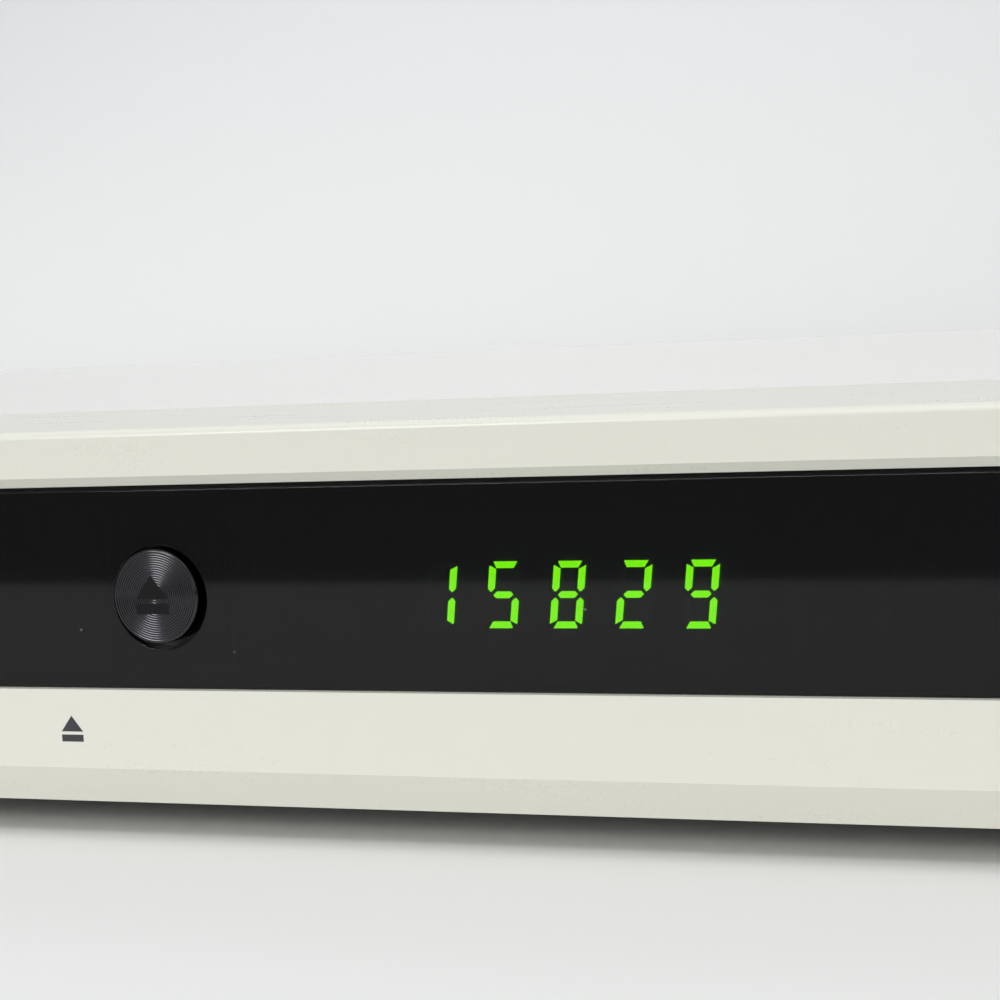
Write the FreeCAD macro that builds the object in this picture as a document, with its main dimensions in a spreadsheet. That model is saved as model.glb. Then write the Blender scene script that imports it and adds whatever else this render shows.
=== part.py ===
import FreeCAD, Part
import math
import os
import re

import Sketcher
from FreeCAD import Placement, Rotation, Vector

# A slim disc player with a motor-driven tray. Millimetres, +X to the right as the
# front is seen, +Y towards the back, +Z up. The origin lies on the surface that the
# player stands on, under the middle of its overall box. In the expressions below
# a depth y is counted from the face of the front panel, and every piece is moved
# back by front_shift as it is placed.

SIZES = {
    # Case
    "panel_width": 430.0,
    "panel_height": 50.0,
    "foot_height": 5.0,
    "case_depth": 214.0,
    "jack_nose": 8.0,
    "sheet": 1.0,
    # Front panel
    "panel_wall": 2.5,
    "panel_top_depth": 42.0,
    "panel_side_depth": 40.0,
    "panel_bottom_depth": 14.0,
    "chamfer_height": 5.0,
    "chamfer_setback": 2.5,
    "edge_round": 1.0,
    "corner_round": 3.0,
    "window_base": 15.6,
    "window_height": 26.93,
    "window_width": 400.0,
    "window_recess": 1.2,
    "bevel_height": 1.28,
    # Smoked window
    "window_gap": 0.1,
    "window_flange": 3.0,
    "window_back": 4.0,
    "window_edge": 0.6,
    # Buttons
    "eject_x": 31.4,
    "power_x": 188.0,
    "button_height": 27.7,
    "cap_radius": 6.27,
    "cap_hole_radius": 6.91,
    "cap_rise": 0.3,
    "cap_proud": 1.3,
    "cap_edge": 0.4,
    "press_travel": 0.6,
    "flange_side": 15.8,
    "flange_thick": 1.0,
    "stem_side": 3.0,
    "guide_wall": 1.4,
    "guide_depth": 5.0,
    # Front board and what stands on it
    "board_thick": 1.6,
    "front_board_y": 14.0,
    "front_board_left": 15.0,
    "front_board_right": 207.0,
    "front_board_base": 5.5,
    "front_board_height": 38.0,
    "boss_base": 6.9,
    "boss_radius": 2.6,
    "switch_side": 6.0,
    "switch_body": 3.5,
    "switch_stem": 1.5,
    "display_x": 87.3,
    "display_width": 50.0,
    "display_height": 20.0,
    "display_front": 5.0,
    "segment_thick": 0.4,
    "digit_base": 27.4,
    "digit_pitch": 8.68,
    "digit_height": 8.6,
    "digit_width": 4.3,
    "digit_slant": 7.5,
    "stroke": 0.95,
    "stroke_corner": 0.6,
    "stroke_mitre": 0.5,
    "stroke_tip": 0.4,
    "receiver_x": 130.0,
    "receiver_width": 6.0,
    "receiver_height": 8.0,
    "receiver_thick": 5.0,
    "receiver_lens": 2.4,
    "usb_x": 160.0,
    "usb_base": 20.0,
    "usb_width": 13.1,
    "usb_height": 5.7,
    "usb_wall": 0.3,
    "usb_front": 1.5,
    # Top cover
    "cover_inset": 1.0,
    "cover_drop": 0.3,
    "cover_sheet": 0.8,
    "cover_bend": 2.0,
    "cover_seam": 0.3,
    "vent_pitch": 6.0,
    "vent_width": 2.4,
    "vent_height": 18.0,
    "side_screw_base": 9.0,
    # Chassis base and feet
    "base_lift": 0.5,
    "base_front": 16.0,
    "base_flange": 14.0,
    "stand_height": 5.0,
    "stand_radius": 3.0,
    "loader_stand": 3.5,
    "foot_radius": 12.0,
    "foot_x": 180.0,
    "foot_front": 30.0,
    "foot_rear": 188.0,
    "pad_radius": 9.0,
    "pad_thick": 1.4,
    # Screws
    "screw_hole": 1.6,
    "screw_radius": 1.3,
    "screw_length": 5.0,
    "screw_head": 2.6,
    "head_rise": 1.5,
    "cover_head": 3.2,
    "cover_head_rise": 0.9,
    # Tray door and tray
    "loader_x": -68.0,
    "door_width": 137.0,
    "door_base": 21.0,
    "door_height": 17.0,
    "door_thick": 3.0,
    "door_gap": 0.4,
    "door_edge": 0.4,
    "tray_width": 129.0,
    "tray_length": 166.0,
    "tray_low": 35.7,
    "tray_rim": 39.4,
    "tray_floor": 37.2,
    "tray_edge": 3.0,
    "tray_flange": 2.0,
    "disc_y": 77.0,
    "well_radius": 60.5,
    "small_well_radius": 40.5,
    "small_well_depth": 0.7,
    "slot_radius": 19.0,
    "slot_length": 66.0,
    "tray_travel": 136.0,
    # Loading gears
    "tooth_size": 1.25,
    "gear_y": 28.0,
    "pressure_angle": 20.0,
    "dedendum": 1.1,
    "addendum": 0.8,
    "drive_x": 43.0,
    "wheel_teeth": 26.0,
    "drive_teeth": 13.0,
    "idler_teeth": 13.0,
    "backlash": 0.12,
    "running": 0.05,
    "wheel_low": 27.3,
    "wheel_thick": 3.0,
    "rack_low": 31.4,
    "rack_back": 3.3,
    "pulley_radius": 9.5,
    "pulley_low": 23.0,
    "pulley_thick": 3.5,
    "belt_side": 1.1,
    "belt_gap": 0.15,
    "drive_post": 2.0,
    "idler_post": 1.5,
    "motor_x": -18.0,
    "motor_pulley_radius": 2.4,
    "motor_radius": 9.0,
    "motor_height": 11.0,
    # Loader frame
    "frame_wall": 3.0,
    "rail_gap": 1.0,
    "rail_reach": 3.6,
    "frame_front": 7.0,
    "frame_rear": 184.0,
    "frame_low": 8.0,
    "frame_top": 42.0,
    "front_floor": 22.0,
    "front_floor_rear": 45.7,
    "floor_thick": 2.0,
    "ear_reach": 10.0,
    "ear_thick": 2.5,
    # Clamp
    "bridge_depth": 32.0,
    "clamp_hole_radius": 12.0,
    "clamper_low": 39.8,
    # Traverse, counted from its pivot pins
    "pivot_y": 165.0,
    "pivot_z": 27.0,
    "lift_angle": 4.2,
    "pivot_radius": 2.5,
    "lift_width": 104.0,
    "lift_bar": 7.0,
    "lift_height": 6.0,
    "lift_front": 113.0,
    "base_width": 86.0,
    "base_sheet": 1.2,
    "damper_radius": 4.0,
    "damper_x": 40.0,
    "opening_width": 64.0,
    "opening_front": 76.0,
    "opening_rear": 12.0,
    "rod_x": 27.0,
    "rod_z": 3.6,
    "rod_radius": 1.5,
    "spindle_radius": 12.0,
    "spindle_top": 8.0,
    "seat_height": 12.2,
    "turntable_radius": 14.0,
    "nose_radius": 7.4,
    "nose_rise": 1.8,
    "plate_thick": 2.4,
    "shaft_radius": 1.0,
    "sled_length": 26.0,
    "sled_start": 24.0,
    "sled_travel": 34.0,
    "screw_z": 3.6,
    "thread_radius": 1.5,
    "sled_motor_radius": 3.5,
    "arm_reach": 2.5,
    "screw_offset": 6.4,
    "sled_motor_length": 12.0,
    "cam_y": 47.0,
    "cam_thick": 2.5,
    "cam_low": 12.3,
    "cam_height": 13.0,
    "cam_length": 64.0,
    "cam_travel": 16.0,
    "cam_pin_radius": 1.5,
    "cam_clearance": 0.3,
    # Boards and jacks at the back
    "main_board_left": 20.0,
    "main_board_right": 200.0,
    "main_board_front": 92.0,
    "power_board_left": -206.0,
    "power_board_right": -150.0,
    "power_board_front": 84.0,
    "board_setback": 4.0,
    "inlet_x": -186.0,
    "hdmi_x": 52.0,
    "lan_x": 84.0,
    "optical_x": 112.0,
    "phono_x": 140.0,
    "phono_pitch": 15.0,
    "phono_radius": 4.15,
    "jack_lift": 7.5,
    "jack_gap": 0.2,
    "inlet_width": 26.0,
    "inlet_height": 17.0,
    "inlet_lip": 1.6,
    "phono_bore": 1.7,
    "hdmi_half": 7.5,
    "hdmi_height": 6.0,
    "lan_half": 8.0,
    "lan_height": 13.5,
    "optical_half": 4.9,
    "optical_height": 10.0,
    "chip_thick": 1.6,
    "sink_base": 2.0,
    "sink_height": 11.4,
    "sink_pitch": 4.4,
    "large_capacitor": 8.0,
    "small_capacitor": 4.5,
}

# Places that follow from the sizes above
PLACES = {
    "front_shift": "-(case_depth + jack_nose + min(0; window_recess - cap_proud)) / 2",
    "panel_low": "foot_height",
    "panel_top": "foot_height + panel_height",
    "window_low": "foot_height + window_base",
    "window_top": "window_low + window_height",
    "button_z": "foot_height + button_height",
    "press_end": "front_board_y - switch_body - switch_stem",
    "boss_z": "foot_height + boss_base + boss_radius",
    "button_mid": "button_z + cap_rise",
    "board_low": "foot_height + front_board_base",
    "digit_z": "foot_height + digit_base",
    "usb_low": "foot_height + usb_base",
    "cover_half": "panel_width / 2 - cover_inset",
    "cover_top": "panel_top - cover_drop",
    "cover_inner": "cover_half - cover_sheet",
    "base_low": "foot_height + base_lift",
    "floor_top": "base_low + sheet",
    "main_low": "floor_top + stand_height",
    "main_top": "main_low + board_thick",
    "door_low": "foot_height + door_base",
    "tray_front": "window_recess + door_thick",
    "frame_half": "tray_width / 2 + rail_gap",
    "frame_outer": "frame_half + frame_wall",
    "rack_pitch_x": "drive_x + tooth_size * drive_teeth / 2",
    "rack_root_x": "rack_pitch_x + dedendum * tooth_size",
    "rack_tip_x": "rack_pitch_x - addendum * tooth_size",
    "rack_tooth": "pi * tooth_size / 2 - backlash",
    "idler_x": "drive_x - tooth_size * (wheel_teeth + idler_teeth) / 2",
    "disc_v": "disc_y - pivot_y",
    "cam_pin_v": "-(lift_front + cam_thick + 2)",
    "rear_y": "case_depth - sheet",
    "jack_end": "case_depth + jack_nose",
    "jack_z": "main_top + jack_lift",
}

document = FreeCAD.newDocument("DiscPlayer")
sheet = document.addObject("Spreadsheet::Sheet", "Sizes")
for row, (alias, number) in enumerate(SIZES.items(), 1):
    sheet.set(f"A{row}", alias)
    sheet.set(f"B{row}", str(number))
    sheet.setAlias(f"B{row}", alias)
document.recompute()

PIECES = []


def bound(text):
    """An expression on sizes and places, written out for the document."""
    def swap(match):
        word = match[0]
        if word in PLACES:
            return f"({bound(PLACES[word])})"
        return f"Sizes.{word}" if word in SIZES else word
    return re.sub(r"[a-z][a-z_]*", swap, text)


def value(text):
    """The number that an expression on sizes and places has now."""
    return float(sheet.evalExpression(bound(text)))


# Ways to make a piece


def place(piece, x, y, z):
    for axis, text in (("x", x), ("y", f"front_shift + {y}"), ("z", z)):
        piece.setExpression(f"Placement.Base.{axis}", bound(text))


def new_body(name, x="0", y="0", z="0"):
    body = document.addObject("PartDesign::Body", name)
    body.Label = name
    place(body, x, y, z)
    PIECES.append(body)
    return body


def loader_body(name, x="0", y="0"):
    """A piece of the disc drive: x is counted from the middle of the tray."""
    return new_body(name, f"loader_x + {x}", y)


def traverse_body(name):
    """A piece of the traverse, built level from its pivot and then lowered."""
    body = new_body(name, "loader_x", "pivot_y", "pivot_z")
    body.Placement = Placement(body.Placement.Base, Rotation(Vector(1, 0, 0), 1))
    body.setExpression("Placement.Rotation.Angle", bound("lift_angle"))
    return body


def shaped_piece(name, shape, x="0", y="0", z="0"):
    piece = document.addObject("Part::Feature", name)
    piece.Label = name
    piece.Shape = shape
    place(piece, x, y, z)
    PIECES.append(piece)
    return piece


def origin_feature(body, role):
    return next(item for item in body.Origin.OriginFeatures if item.Role == role)


def polygon(*points):
    return ("polygon", points)


def box(left, right, low, high):
    return polygon((left, low), (right, low), (right, high), (left, high))


def circle(x, y, radius):
    return ("circle", (x, y, radius))


def square(x, y, side):
    return box(f"{x} - ({side}) / 2", f"{x} + ({side}) / 2", f"{y} - ({side}) / 2", f"{y} + ({side}) / 2")


def ring(x, y, radius, sides):
    """A regular polygon whose corners lie on a circle."""
    turns = [360 * (n + 0.5) / sides for n in range(sides)]
    return polygon(*[(f"{x} + ({radius}) * cos({a})", f"{y} + ({radius}) * sin({a})") for a in turns])


def draw_polygon(sketch, points):
    numbers = [Vector(value(x), value(y), 0) for x, y in points]
    first = sketch.GeometryCount
    count = len(numbers)
    for index in range(count):
        sketch.addGeometry(Part.LineSegment(numbers[index], numbers[(index + 1) % count]))
    for index in range(count):
        after = first + (index + 1) % count
        sketch.addConstraint(Sketcher.Constraint("Coincident", first + index, 2, after, 1))
    for index, (point, number) in enumerate(zip(points, numbers)):
        for kind, text, at in (("DistanceX", point[0], number.x), ("DistanceY", point[1], number.y)):
            held = sketch.addConstraint(Sketcher.Constraint(kind, -1, 1, first + index, 1, at))
            sketch.setExpression(f"Constraints[{held}]", bound(text))


def draw_circle(sketch, x, y, radius):
    centre = Vector(value(x), value(y), 0)
    ring = sketch.addGeometry(Part.Circle(centre, Vector(0, 0, 1), value(radius)))
    for kind, text, at in (("DistanceX", x, centre.x), ("DistanceY", y, centre.y)):
        held = sketch.addConstraint(Sketcher.Constraint(kind, -1, 1, ring, 3, at))
        sketch.setExpression(f"Constraints[{held}]", bound(text))
    held = sketch.addConstraint(Sketcher.Constraint("Radius", ring, value(radius)))
    sketch.setExpression(f"Constraints[{held}]", bound(radius))


def new_sketch(body, name, plane, outlines, offset="0"):
    sketch = body.newObject("Sketcher::SketchObject", f"{body.Name}_{name}_sketch")
    sketch.AttachmentSupport = [(origin_feature(body, plane), "")]
    sketch.MapMode = "FlatFace"
    sketch.setExpression("AttachmentOffset.Base.z", bound(offset))
    for kind, data in outlines:
        if kind == "polygon":
            draw_polygon(sketch, data)
        else:
            draw_circle(sketch, *data)
    return sketch


def add(body, name, plane, outlines, low, high):
    """Pad outlines from one coordinate to another along the plane's axis."""
    backwards = plane == "XZ_Plane"
    offset = f"-({low})" if backwards else low
    sketch = new_sketch(body, name, plane, outlines, offset)
    pad = body.newObject("PartDesign::Pad", f"{body.Name}_{name}")
    pad.Profile = sketch
    pad.Reversed = backwards
    pad.setExpression("Length", bound(f"({high}) - ({low})"))
    document.recompute()
    return pad


def cut(body, name, plane, outlines, low, high):
    """Pocket outlines between two coordinates, and make sure that it cuts."""
    before = body.Shape.Volume
    offset = f"-({low})" if plane == "XZ_Plane" else high
    sketch = new_sketch(body, name, plane, outlines, offset)
    pocket = body.newObject("PartDesign::Pocket", f"{body.Name}_{name}")
    pocket.Profile = sketch
    pocket.setExpression("Length", bound(f"({high}) - ({low})"))
    document.recompute()
    if body.Shape.Volume >= before:
        raise RuntimeError(f"{body.Name} {name} cuts nothing")
    return pocket


def repeat(body, feature, axis, pitch, count):
    """A row of copies of a feature along one of the body's axes."""
    pattern = body.newObject("PartDesign::LinearPattern", f"{feature.Name}_row")
    pattern.Originals = [feature]
    pattern.Direction = (origin_feature(body, axis), [""])
    pattern.Mode = "Spacing"
    pattern.setExpression("Offset", bound(pitch))
    pattern.setExpression("Occurrences", bound(count))
    body.Tip = pattern
    document.recompute()
    return pattern


def dress(body, kind, test, size, name):
    """Fillet or Chamfer the edges of the body that pass a test."""
    base = body.Tip
    edges = [f"Edge{index}" for index, edge in enumerate(base.Shape.Edges, 1) if test(edge)]
    feature = body.newObject(f"PartDesign::{kind}", f"{body.Name}_{name}")
    feature.Base = (base, edges)
    feature.setExpression("Radius" if kind == "Fillet" else "Size", bound(size))
    document.recompute()
    return feature


def runs_along(edge, axis):
    """True for a straight edge along x, y or z."""
    if edge.Curve.TypeId != "Part::GeomLine":
        return False
    return abs(abs(getattr(edge.tangentAt(edge.FirstParameter), axis)) - 1) < 1e-6


def at(edge, axis, text):
    """True for an edge whose middle has this coordinate in the body."""
    middle = edge.valueAt((edge.FirstParameter + edge.LastParameter) / 2)
    return abs(getattr(middle, axis) - value(text)) < 1e-4


# Casing


def build_front_panel():
    """One moulded shell: the face, a deep top and short returns at the ends."""
    body = new_body("front_panel")
    half = "panel_width / 2"
    inner_half = "panel_width / 2 - panel_wall"
    face = [("chamfer_setback", "panel_low"), ("0", "panel_low + chamfer_height"),
            ("0", "panel_top"), ("panel_top_depth", "panel_top"), ("panel_top_depth", "panel_low")]
    add(body, "block", "YZ_Plane", [polygon(*face)], f"-({half})", half)
    dress(body, "Fillet", lambda e: runs_along(e, "z") and at(e, "y", "0"), "corner_round", "ends")
    dress(body, "Fillet", lambda e: at(e, "z", "panel_top") and not runs_along(e, "y")
          and not at(e, "y", "panel_top_depth"), "edge_round", "top_edge")
    hollow = [("chamfer_setback + panel_wall", "panel_low + panel_wall"),
              ("panel_wall", "panel_low + chamfer_height + panel_wall / 2"),
              ("panel_wall", "panel_top - panel_wall"),
              ("panel_top_depth + 1", "panel_top - panel_wall"),
              ("panel_top_depth + 1", "panel_low + panel_wall")]
    cut(body, "hollow", "YZ_Plane", [polygon(*hollow)], f"-({inner_half})", inner_half)
    under = box("panel_bottom_depth", "panel_top_depth + 1", "panel_low - 1", "panel_low + panel_wall")
    cut(body, "under", "YZ_Plane", [under], f"-({inner_half})", inner_half)
    ends = box("panel_side_depth", "panel_top_depth + 1", "panel_low - 1", "panel_top - panel_wall")
    cut(body, "end_trim", "YZ_Plane", [ends], f"-({half}) - 1", f"{half} + 1")
    opening = box("-window_width / 2", "window_width / 2", "window_low", "window_top")
    cut(body, "opening", "XZ_Plane", [opening], "-1", "panel_wall + 1")
    bevel = polygon(("0", "window_top"), ("0", "window_top + bevel_height"),
                    ("window_recess", "window_top"))
    cut(body, "bevel", "YZ_Plane", [bevel], "-window_width / 2", "window_width / 2")
    bosses = [ring(x, "boss_z", "boss_radius", 8) for x in BOARD_SCREWS]
    add(body, "bosses", "XZ_Plane", bosses, "panel_wall - 0.5", "front_board_y")


BOARD_SCREWS = ("front_board_left + 12", "(front_board_left + front_board_right) / 2",
                "front_board_right - 22")


def build_display_window():
    """The smoked strip: it stands in the panel's opening on a flange behind it."""
    body = new_body("display_window")
    half = "window_width / 2"
    flange = box(f"-({half} + window_flange)", f"{half} + window_flange",
                 "window_low - window_flange", "window_top + window_flange")
    add(body, "flange", "XZ_Plane", [flange], "panel_wall", "window_back")
    block = box(f"-({half} - window_gap)", f"{half} - window_gap",
                "window_low + window_gap", "window_top - window_gap")
    add(body, "block", "XZ_Plane", [block], "window_recess", "panel_wall")
    dress(body, "Chamfer", lambda e: runs_along(e, "x") and at(e, "y", "window_recess")
          and at(e, "z", "window_top - window_gap"), "window_edge", "top_edge")
    door = box("loader_x - door_width / 2 - door_gap", "loader_x + door_width / 2 + door_gap",
               "door_low - door_gap", "door_low + door_height + door_gap")
    socket = box("usb_x - usb_width / 2 - window_gap", "usb_x + usb_width / 2 + window_gap",
                 "usb_low - window_gap", "usb_low + usb_height + window_gap")
    holes = [door, socket]
    holes += [circle(x, "button_z", "cap_hole_radius") for x in ("eject_x", "power_x")]
    cut(body, "holes", "XZ_Plane", holes, "0", "window_back + 1")


def build_button(name, x):
    """A cap with a square flange that stays behind the window and a stem to its switch."""
    body = new_body(name, x, "0", "button_mid")
    front = "window_recess - cap_proud"
    flange = "window_back + 0.3"
    add(body, "cap", "XZ_Plane", [circle("0", "0", "cap_radius")], front, flange)
    dress(body, "Chamfer", lambda e: at(e, "y", front), "cap_edge", "rim")
    add(body, "flange", "XZ_Plane", [square("0", "0", "flange_side")], flange, f"{flange} + flange_thick")
    add(body, "stem", "XZ_Plane", [square("0", "0", "stem_side")],
        f"{flange} + flange_thick", "press_end - press_travel - 0.1")


def build_button_guides():
    """Two square cups fixed behind the window that hold the buttons' flanges."""
    body = new_body("button_guides")
    rear = "window_back + guide_depth"
    bore = "flange_side + 0.6"
    add(body, "cups", "XZ_Plane", [square(x, "button_mid", f"{bore} + 2 * guide_wall") for x in BUTTONS],
        "window_back", rear)
    cut(body, "bores", "XZ_Plane", [square(x, "button_mid", bore) for x in BUTTONS],
        "window_back - 1", f"{rear} - guide_wall")
    cut(body, "stem_holes", "XZ_Plane", [square(x, "button_mid", "stem_side + 0.6") for x in BUTTONS],
        "window_back", f"{rear} + 1")


BUTTONS = ("eject_x", "power_x")


def build_front_board():
    body = new_body("front_board")
    outline = box("front_board_left", "front_board_right", "board_low", "board_low + front_board_height")
    add(body, "board", "XZ_Plane", [outline], "front_board_y", "front_board_y + board_thick")
    holes = [ring(x, "boss_z", "screw_hole", 8) for x in BOARD_SCREWS]
    cut(body, "holes", "XZ_Plane", holes, "front_board_y - 1", "front_board_y + board_thick + 1")


def build_switches():
    body = new_body("tact_switches")
    add(body, "cases", "XZ_Plane", [square(x, "button_mid", "switch_side") for x in BUTTONS],
        "front_board_y - switch_body", "front_board_y")
    add(body, "stems", "XZ_Plane", [ring(x, "button_mid", "stem_side / 2 + 0.3", 8) for x in BUTTONS],
        "press_end", "front_board_y - switch_body")


def build_display():
    """The display's black case; its digits are a node of their own."""
    body = new_body("display_module")
    half = "display_width / 2"
    case = box(f"display_x - {half}", f"display_x + {half}",
               "digit_z - display_height / 2", "digit_z + display_height / 2")
    add(body, "case", "XZ_Plane", [case], "display_front", "front_board_y")


def digit_strokes():
    """Corners of a digit's seven strokes about its middle, before it leans.

    The flat ones taper inwards, the upright ones are mitred at the digit's corners and
    pointed at its middle, and the middle one is pointed at both ends.
    """
    half = value("digit_width / 2")
    tall = value("digit_height / 2")
    stroke = value("stroke")
    corner = value("stroke_corner")
    mitre = value("stroke_mitre")
    tip = value("stroke_tip")
    inner = half - stroke
    flat = [(corner - half, tall), (half - corner, tall),
            (half - corner - mitre, tall - stroke), (corner + mitre - half, tall - stroke)]
    upright = [(half, tall - corner), (half, 2 * tip), (half - stroke / 2, tip),
               (inner, 2 * tip), (inner, tall - corner - mitre)]
    middle = [(-inner, 0), (tip - inner, stroke / 2), (inner - tip, stroke / 2),
              (inner, 0), (inner - tip, -stroke / 2), (tip - inner, -stroke / 2)]
    flats = [[(x, side * z) for x, z in flat] for side in (-1, 1)]
    uprights = [[(side * x, end * z) for x, z in upright] for side in (-1, 1) for end in (-1, 1)]
    return flats + uprights + [middle]


def build_digits():
    """Seven strokes for each of five digits, leaning to the right."""
    lean = math.tan(math.radians(value("digit_slant")))
    solids = []
    for digit in range(DIGITS):
        start = (digit - (DIGITS - 1) / 2) * value("digit_pitch")
        for corners in digit_strokes():
            points = [Vector(start + x + z * lean, 0, z) for x, z in corners]
            face = Part.Face(Part.makePolygon(points + points[:1]))
            solids.append(face.extrude(Vector(0, value("segment_thick"), 0)))
    shaped_piece("digit_segments", Part.makeCompound(solids), "display_x",
                 "display_front - segment_thick", "digit_z")


DIGITS = 5


def build_receiver():
    body = new_body("remote_receiver", "receiver_x", "0", "digit_z")
    half = "receiver_width / 2"
    tall = "receiver_height / 2"
    front = "front_board_y - receiver_thick"
    add(body, "case", "XZ_Plane", [box(f"-{half}", half, f"-{tall}", tall)], front, "front_board_y")
    add(body, "lens", "XZ_Plane", [ring("0", "0", "receiver_lens", 12)], f"{front} - receiver_lens / 2", front)


def build_usb_port():
    """A pressed shell round a tongue, open at the front."""
    body = new_body("usb_port", "usb_x", "0", "usb_low")
    half = "usb_width / 2"
    add(body, "shell", "XZ_Plane", [box(f"-{half}", half, "0", "usb_height")], "usb_front", "front_board_y")
    inner = box(f"-({half} - usb_wall)", f"{half} - usb_wall", "usb_wall", "usb_height - usb_wall")
    cut(body, "mouth", "XZ_Plane", [inner], "usb_front - 1", "front_board_y - 1.5")
    tongue = box(f"-({half} - 1.4)", f"{half} - 1.4", "usb_height / 2 + 0.1", "usb_height / 2 + 1.9")
    add(body, "tongue", "XZ_Plane", [tongue], "usb_front + 1", "front_board_y - 1.5")


def build_top_cover():
    """A bent steel hood with vent slots in both sides."""
    body = new_body("top_cover")
    low = "base_low + 1"
    outer = [("-(cover_half)", low), ("-(cover_half)", "cover_top"), ("cover_half", "cover_top"),
             ("cover_half", low), ("cover_inner", low), ("cover_inner", "cover_top - cover_sheet"),
             ("-(cover_inner)", "cover_top - cover_sheet"), ("-(cover_inner)", low)]
    add(body, "hood", "XZ_Plane", [polygon(*outer)], "panel_top_depth + cover_seam", "case_depth")
    dress(body, "Fillet", lambda e: runs_along(e, "y") and at(e, "z", "cover_top"), "cover_bend", "bends")
    slot = box("case_depth - 74", "case_depth - 74 + vent_width", "floor_top + 14", "floor_top + 14 + vent_height")
    vents = cut(body, "vents", "YZ_Plane", [slot], "-(cover_half) - 1", "cover_half + 1")
    repeat(body, vents, "Y_Axis", "vent_pitch", "8")
    holes = [ring(y, "foot_height + side_screw_base", "screw_hole", 8) for y in SIDE_SCREWS]
    cut(body, "screw_holes", "YZ_Plane", holes, "-(cover_half) - 1", "cover_half + 1")


SIDE_SCREWS = ("panel_top_depth + 14", "case_depth - 16")


def build_chassis_base():
    """A steel pan with turned-up edges, and stands for the boards and the drive."""
    body = new_body("chassis_base")
    half = "cover_inner"
    add(body, "floor", "XY_Plane", [box(f"-({half})", half, "base_front", "rear_y")], "base_low", "floor_top")
    sides = [box(f"{half} - sheet", half, "panel_side_depth + 2", "rear_y"),
             box(f"-({half})", f"-({half} - sheet)", "panel_side_depth + 2", "rear_y")]
    add(body, "sides", "XY_Plane", sides, "floor_top", "floor_top + base_flange")
    cut(body, "corners", "XY_Plane",
        [box("panel_width / 2 - panel_wall - 0.3", "panel_width / 2", "0", "panel_side_depth + 2"),
         box("-panel_width / 2", "-(panel_width / 2 - panel_wall - 0.3)", "0", "panel_side_depth + 2")],
        "base_low - 1", "floor_top + 1")
    side = "loader_x + frame_outer + 1"
    lips = [box("-cover_inner + 8", "loader_x - frame_outer - 1", "base_front", "base_front + sheet"),
            box(side, "cover_inner - 8", "base_front", "base_front + sheet"),
            box("-cover_inner + 4", "cover_inner - 4", "rear_y - sheet", "rear_y")]
    add(body, "lips", "XY_Plane", lips, "floor_top", "main_low")
    stands = [ring(x, y, "stand_radius", 6) for x, y in MAIN_STANDS + POWER_STANDS]
    add(body, "board_stands", "XY_Plane", stands, "floor_top", "main_low")
    posts = [ring(f"loader_x + {x}", y, "stand_radius + 1", 6) for x, y in LOADER_STANDS]
    add(body, "drive_stands", "XY_Plane", posts, "floor_top", "floor_top + loader_stand")
    vents = cut(body, "vents", "XY_Plane", [box("60", "63", "110", "150")], "base_low - 1", "floor_top + 1")
    repeat(body, vents, "X_Axis", "vent_pitch + 2", "9")


MAIN_STANDS = [(x, y) for x in ("main_board_left + 6", "main_board_right - 6")
               for y in ("main_board_front + 6", "rear_y - board_setback - 12")]
POWER_STANDS = [(x, y) for x in ("power_board_left + 6", "power_board_right - 6")
                for y in ("power_board_front + 6", "rear_y - board_setback - 12")]
LOADER_STANDS = [(x, y) for x in ("-(frame_outer + ear_reach / 2)", "frame_outer + ear_reach / 2")
                 for y in ("frame_front + 18", "frame_rear - 14")]


def build_rear_panel():
    body = new_body("rear_panel")
    inner = "cover_inner - 0.2"
    plate = box(f"-({inner})", inner, "floor_top", "cover_top - cover_sheet")
    add(body, "plate", "XZ_Plane", [plate], "rear_y", "case_depth")
    low = "main_top - jack_gap"
    holes = [box(f"{x} - {half} - jack_gap", f"{x} + {half} + jack_gap", low, f"main_top + {top} + jack_gap")
             for x, half, top in (("inlet_x", "inlet_width / 2", "inlet_height"), ("hdmi_x", "hdmi_half", "hdmi_height"),
                                  ("lan_x", "lan_half", "lan_height"),
                                  ("optical_x", "optical_half", "optical_height"))]
    holes.append(box("phono_x - phono_pitch / 2 - jack_gap", "phono_x + 2.5 * phono_pitch + jack_gap",
                     low, "main_top + 2 * jack_lift + jack_gap"))
    cut(body, "jack_holes", "XZ_Plane", holes, "rear_y - 1", "case_depth + 1")
    slot = box("-120", "-120 + vent_width", "panel_top - 30", "panel_top - 12")
    vents = cut(body, "vents", "XZ_Plane", [slot], "rear_y - 1", "case_depth + 1")
    repeat(body, vents, "X_Axis", "vent_pitch", "14")


def build_feet():
    """Four round feet, each on a thinner pad."""
    centres = [(x, y) for x in ("-foot_x", "foot_x") for y in ("foot_front", "foot_rear")]
    feet = new_body("feet")
    pads = new_body("foot_pads")
    add(feet, "cups", "XY_Plane", [ring(x, y, "foot_radius", 24) for x, y in centres], "pad_thick", "base_low")
    add(pads, "pads", "XY_Plane", [ring(x, y, "pad_radius", 16) for x, y in centres], "0", "pad_thick")


def prism(radius, sides, low, high):
    points = [Vector(radius * math.cos(math.radians(360 * n / sides)),
                     radius * math.sin(math.radians(360 * n / sides)), low) for n in range(sides)]
    return Part.Face(Part.makePolygon(points + points[:1])).extrude(Vector(0, 0, high - low))


def screws(name, places, head, rise):
    """One node of equal screws; each place is x, y, z and the way that its head points."""
    shank = value("screw_radius")
    length = value("screw_length")
    solids = []
    for x, y, z, out in places:
        solid = prism(head, 8, 0, rise).fuse(prism(shank, 4, -length, 0))
        solid.Placement = Placement(Vector(value(x), value(y), value(z)), Rotation(Vector(0, 0, 1), out))
        solids.append(solid)
    shaped_piece(name, Part.makeCompound(solids))


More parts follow.
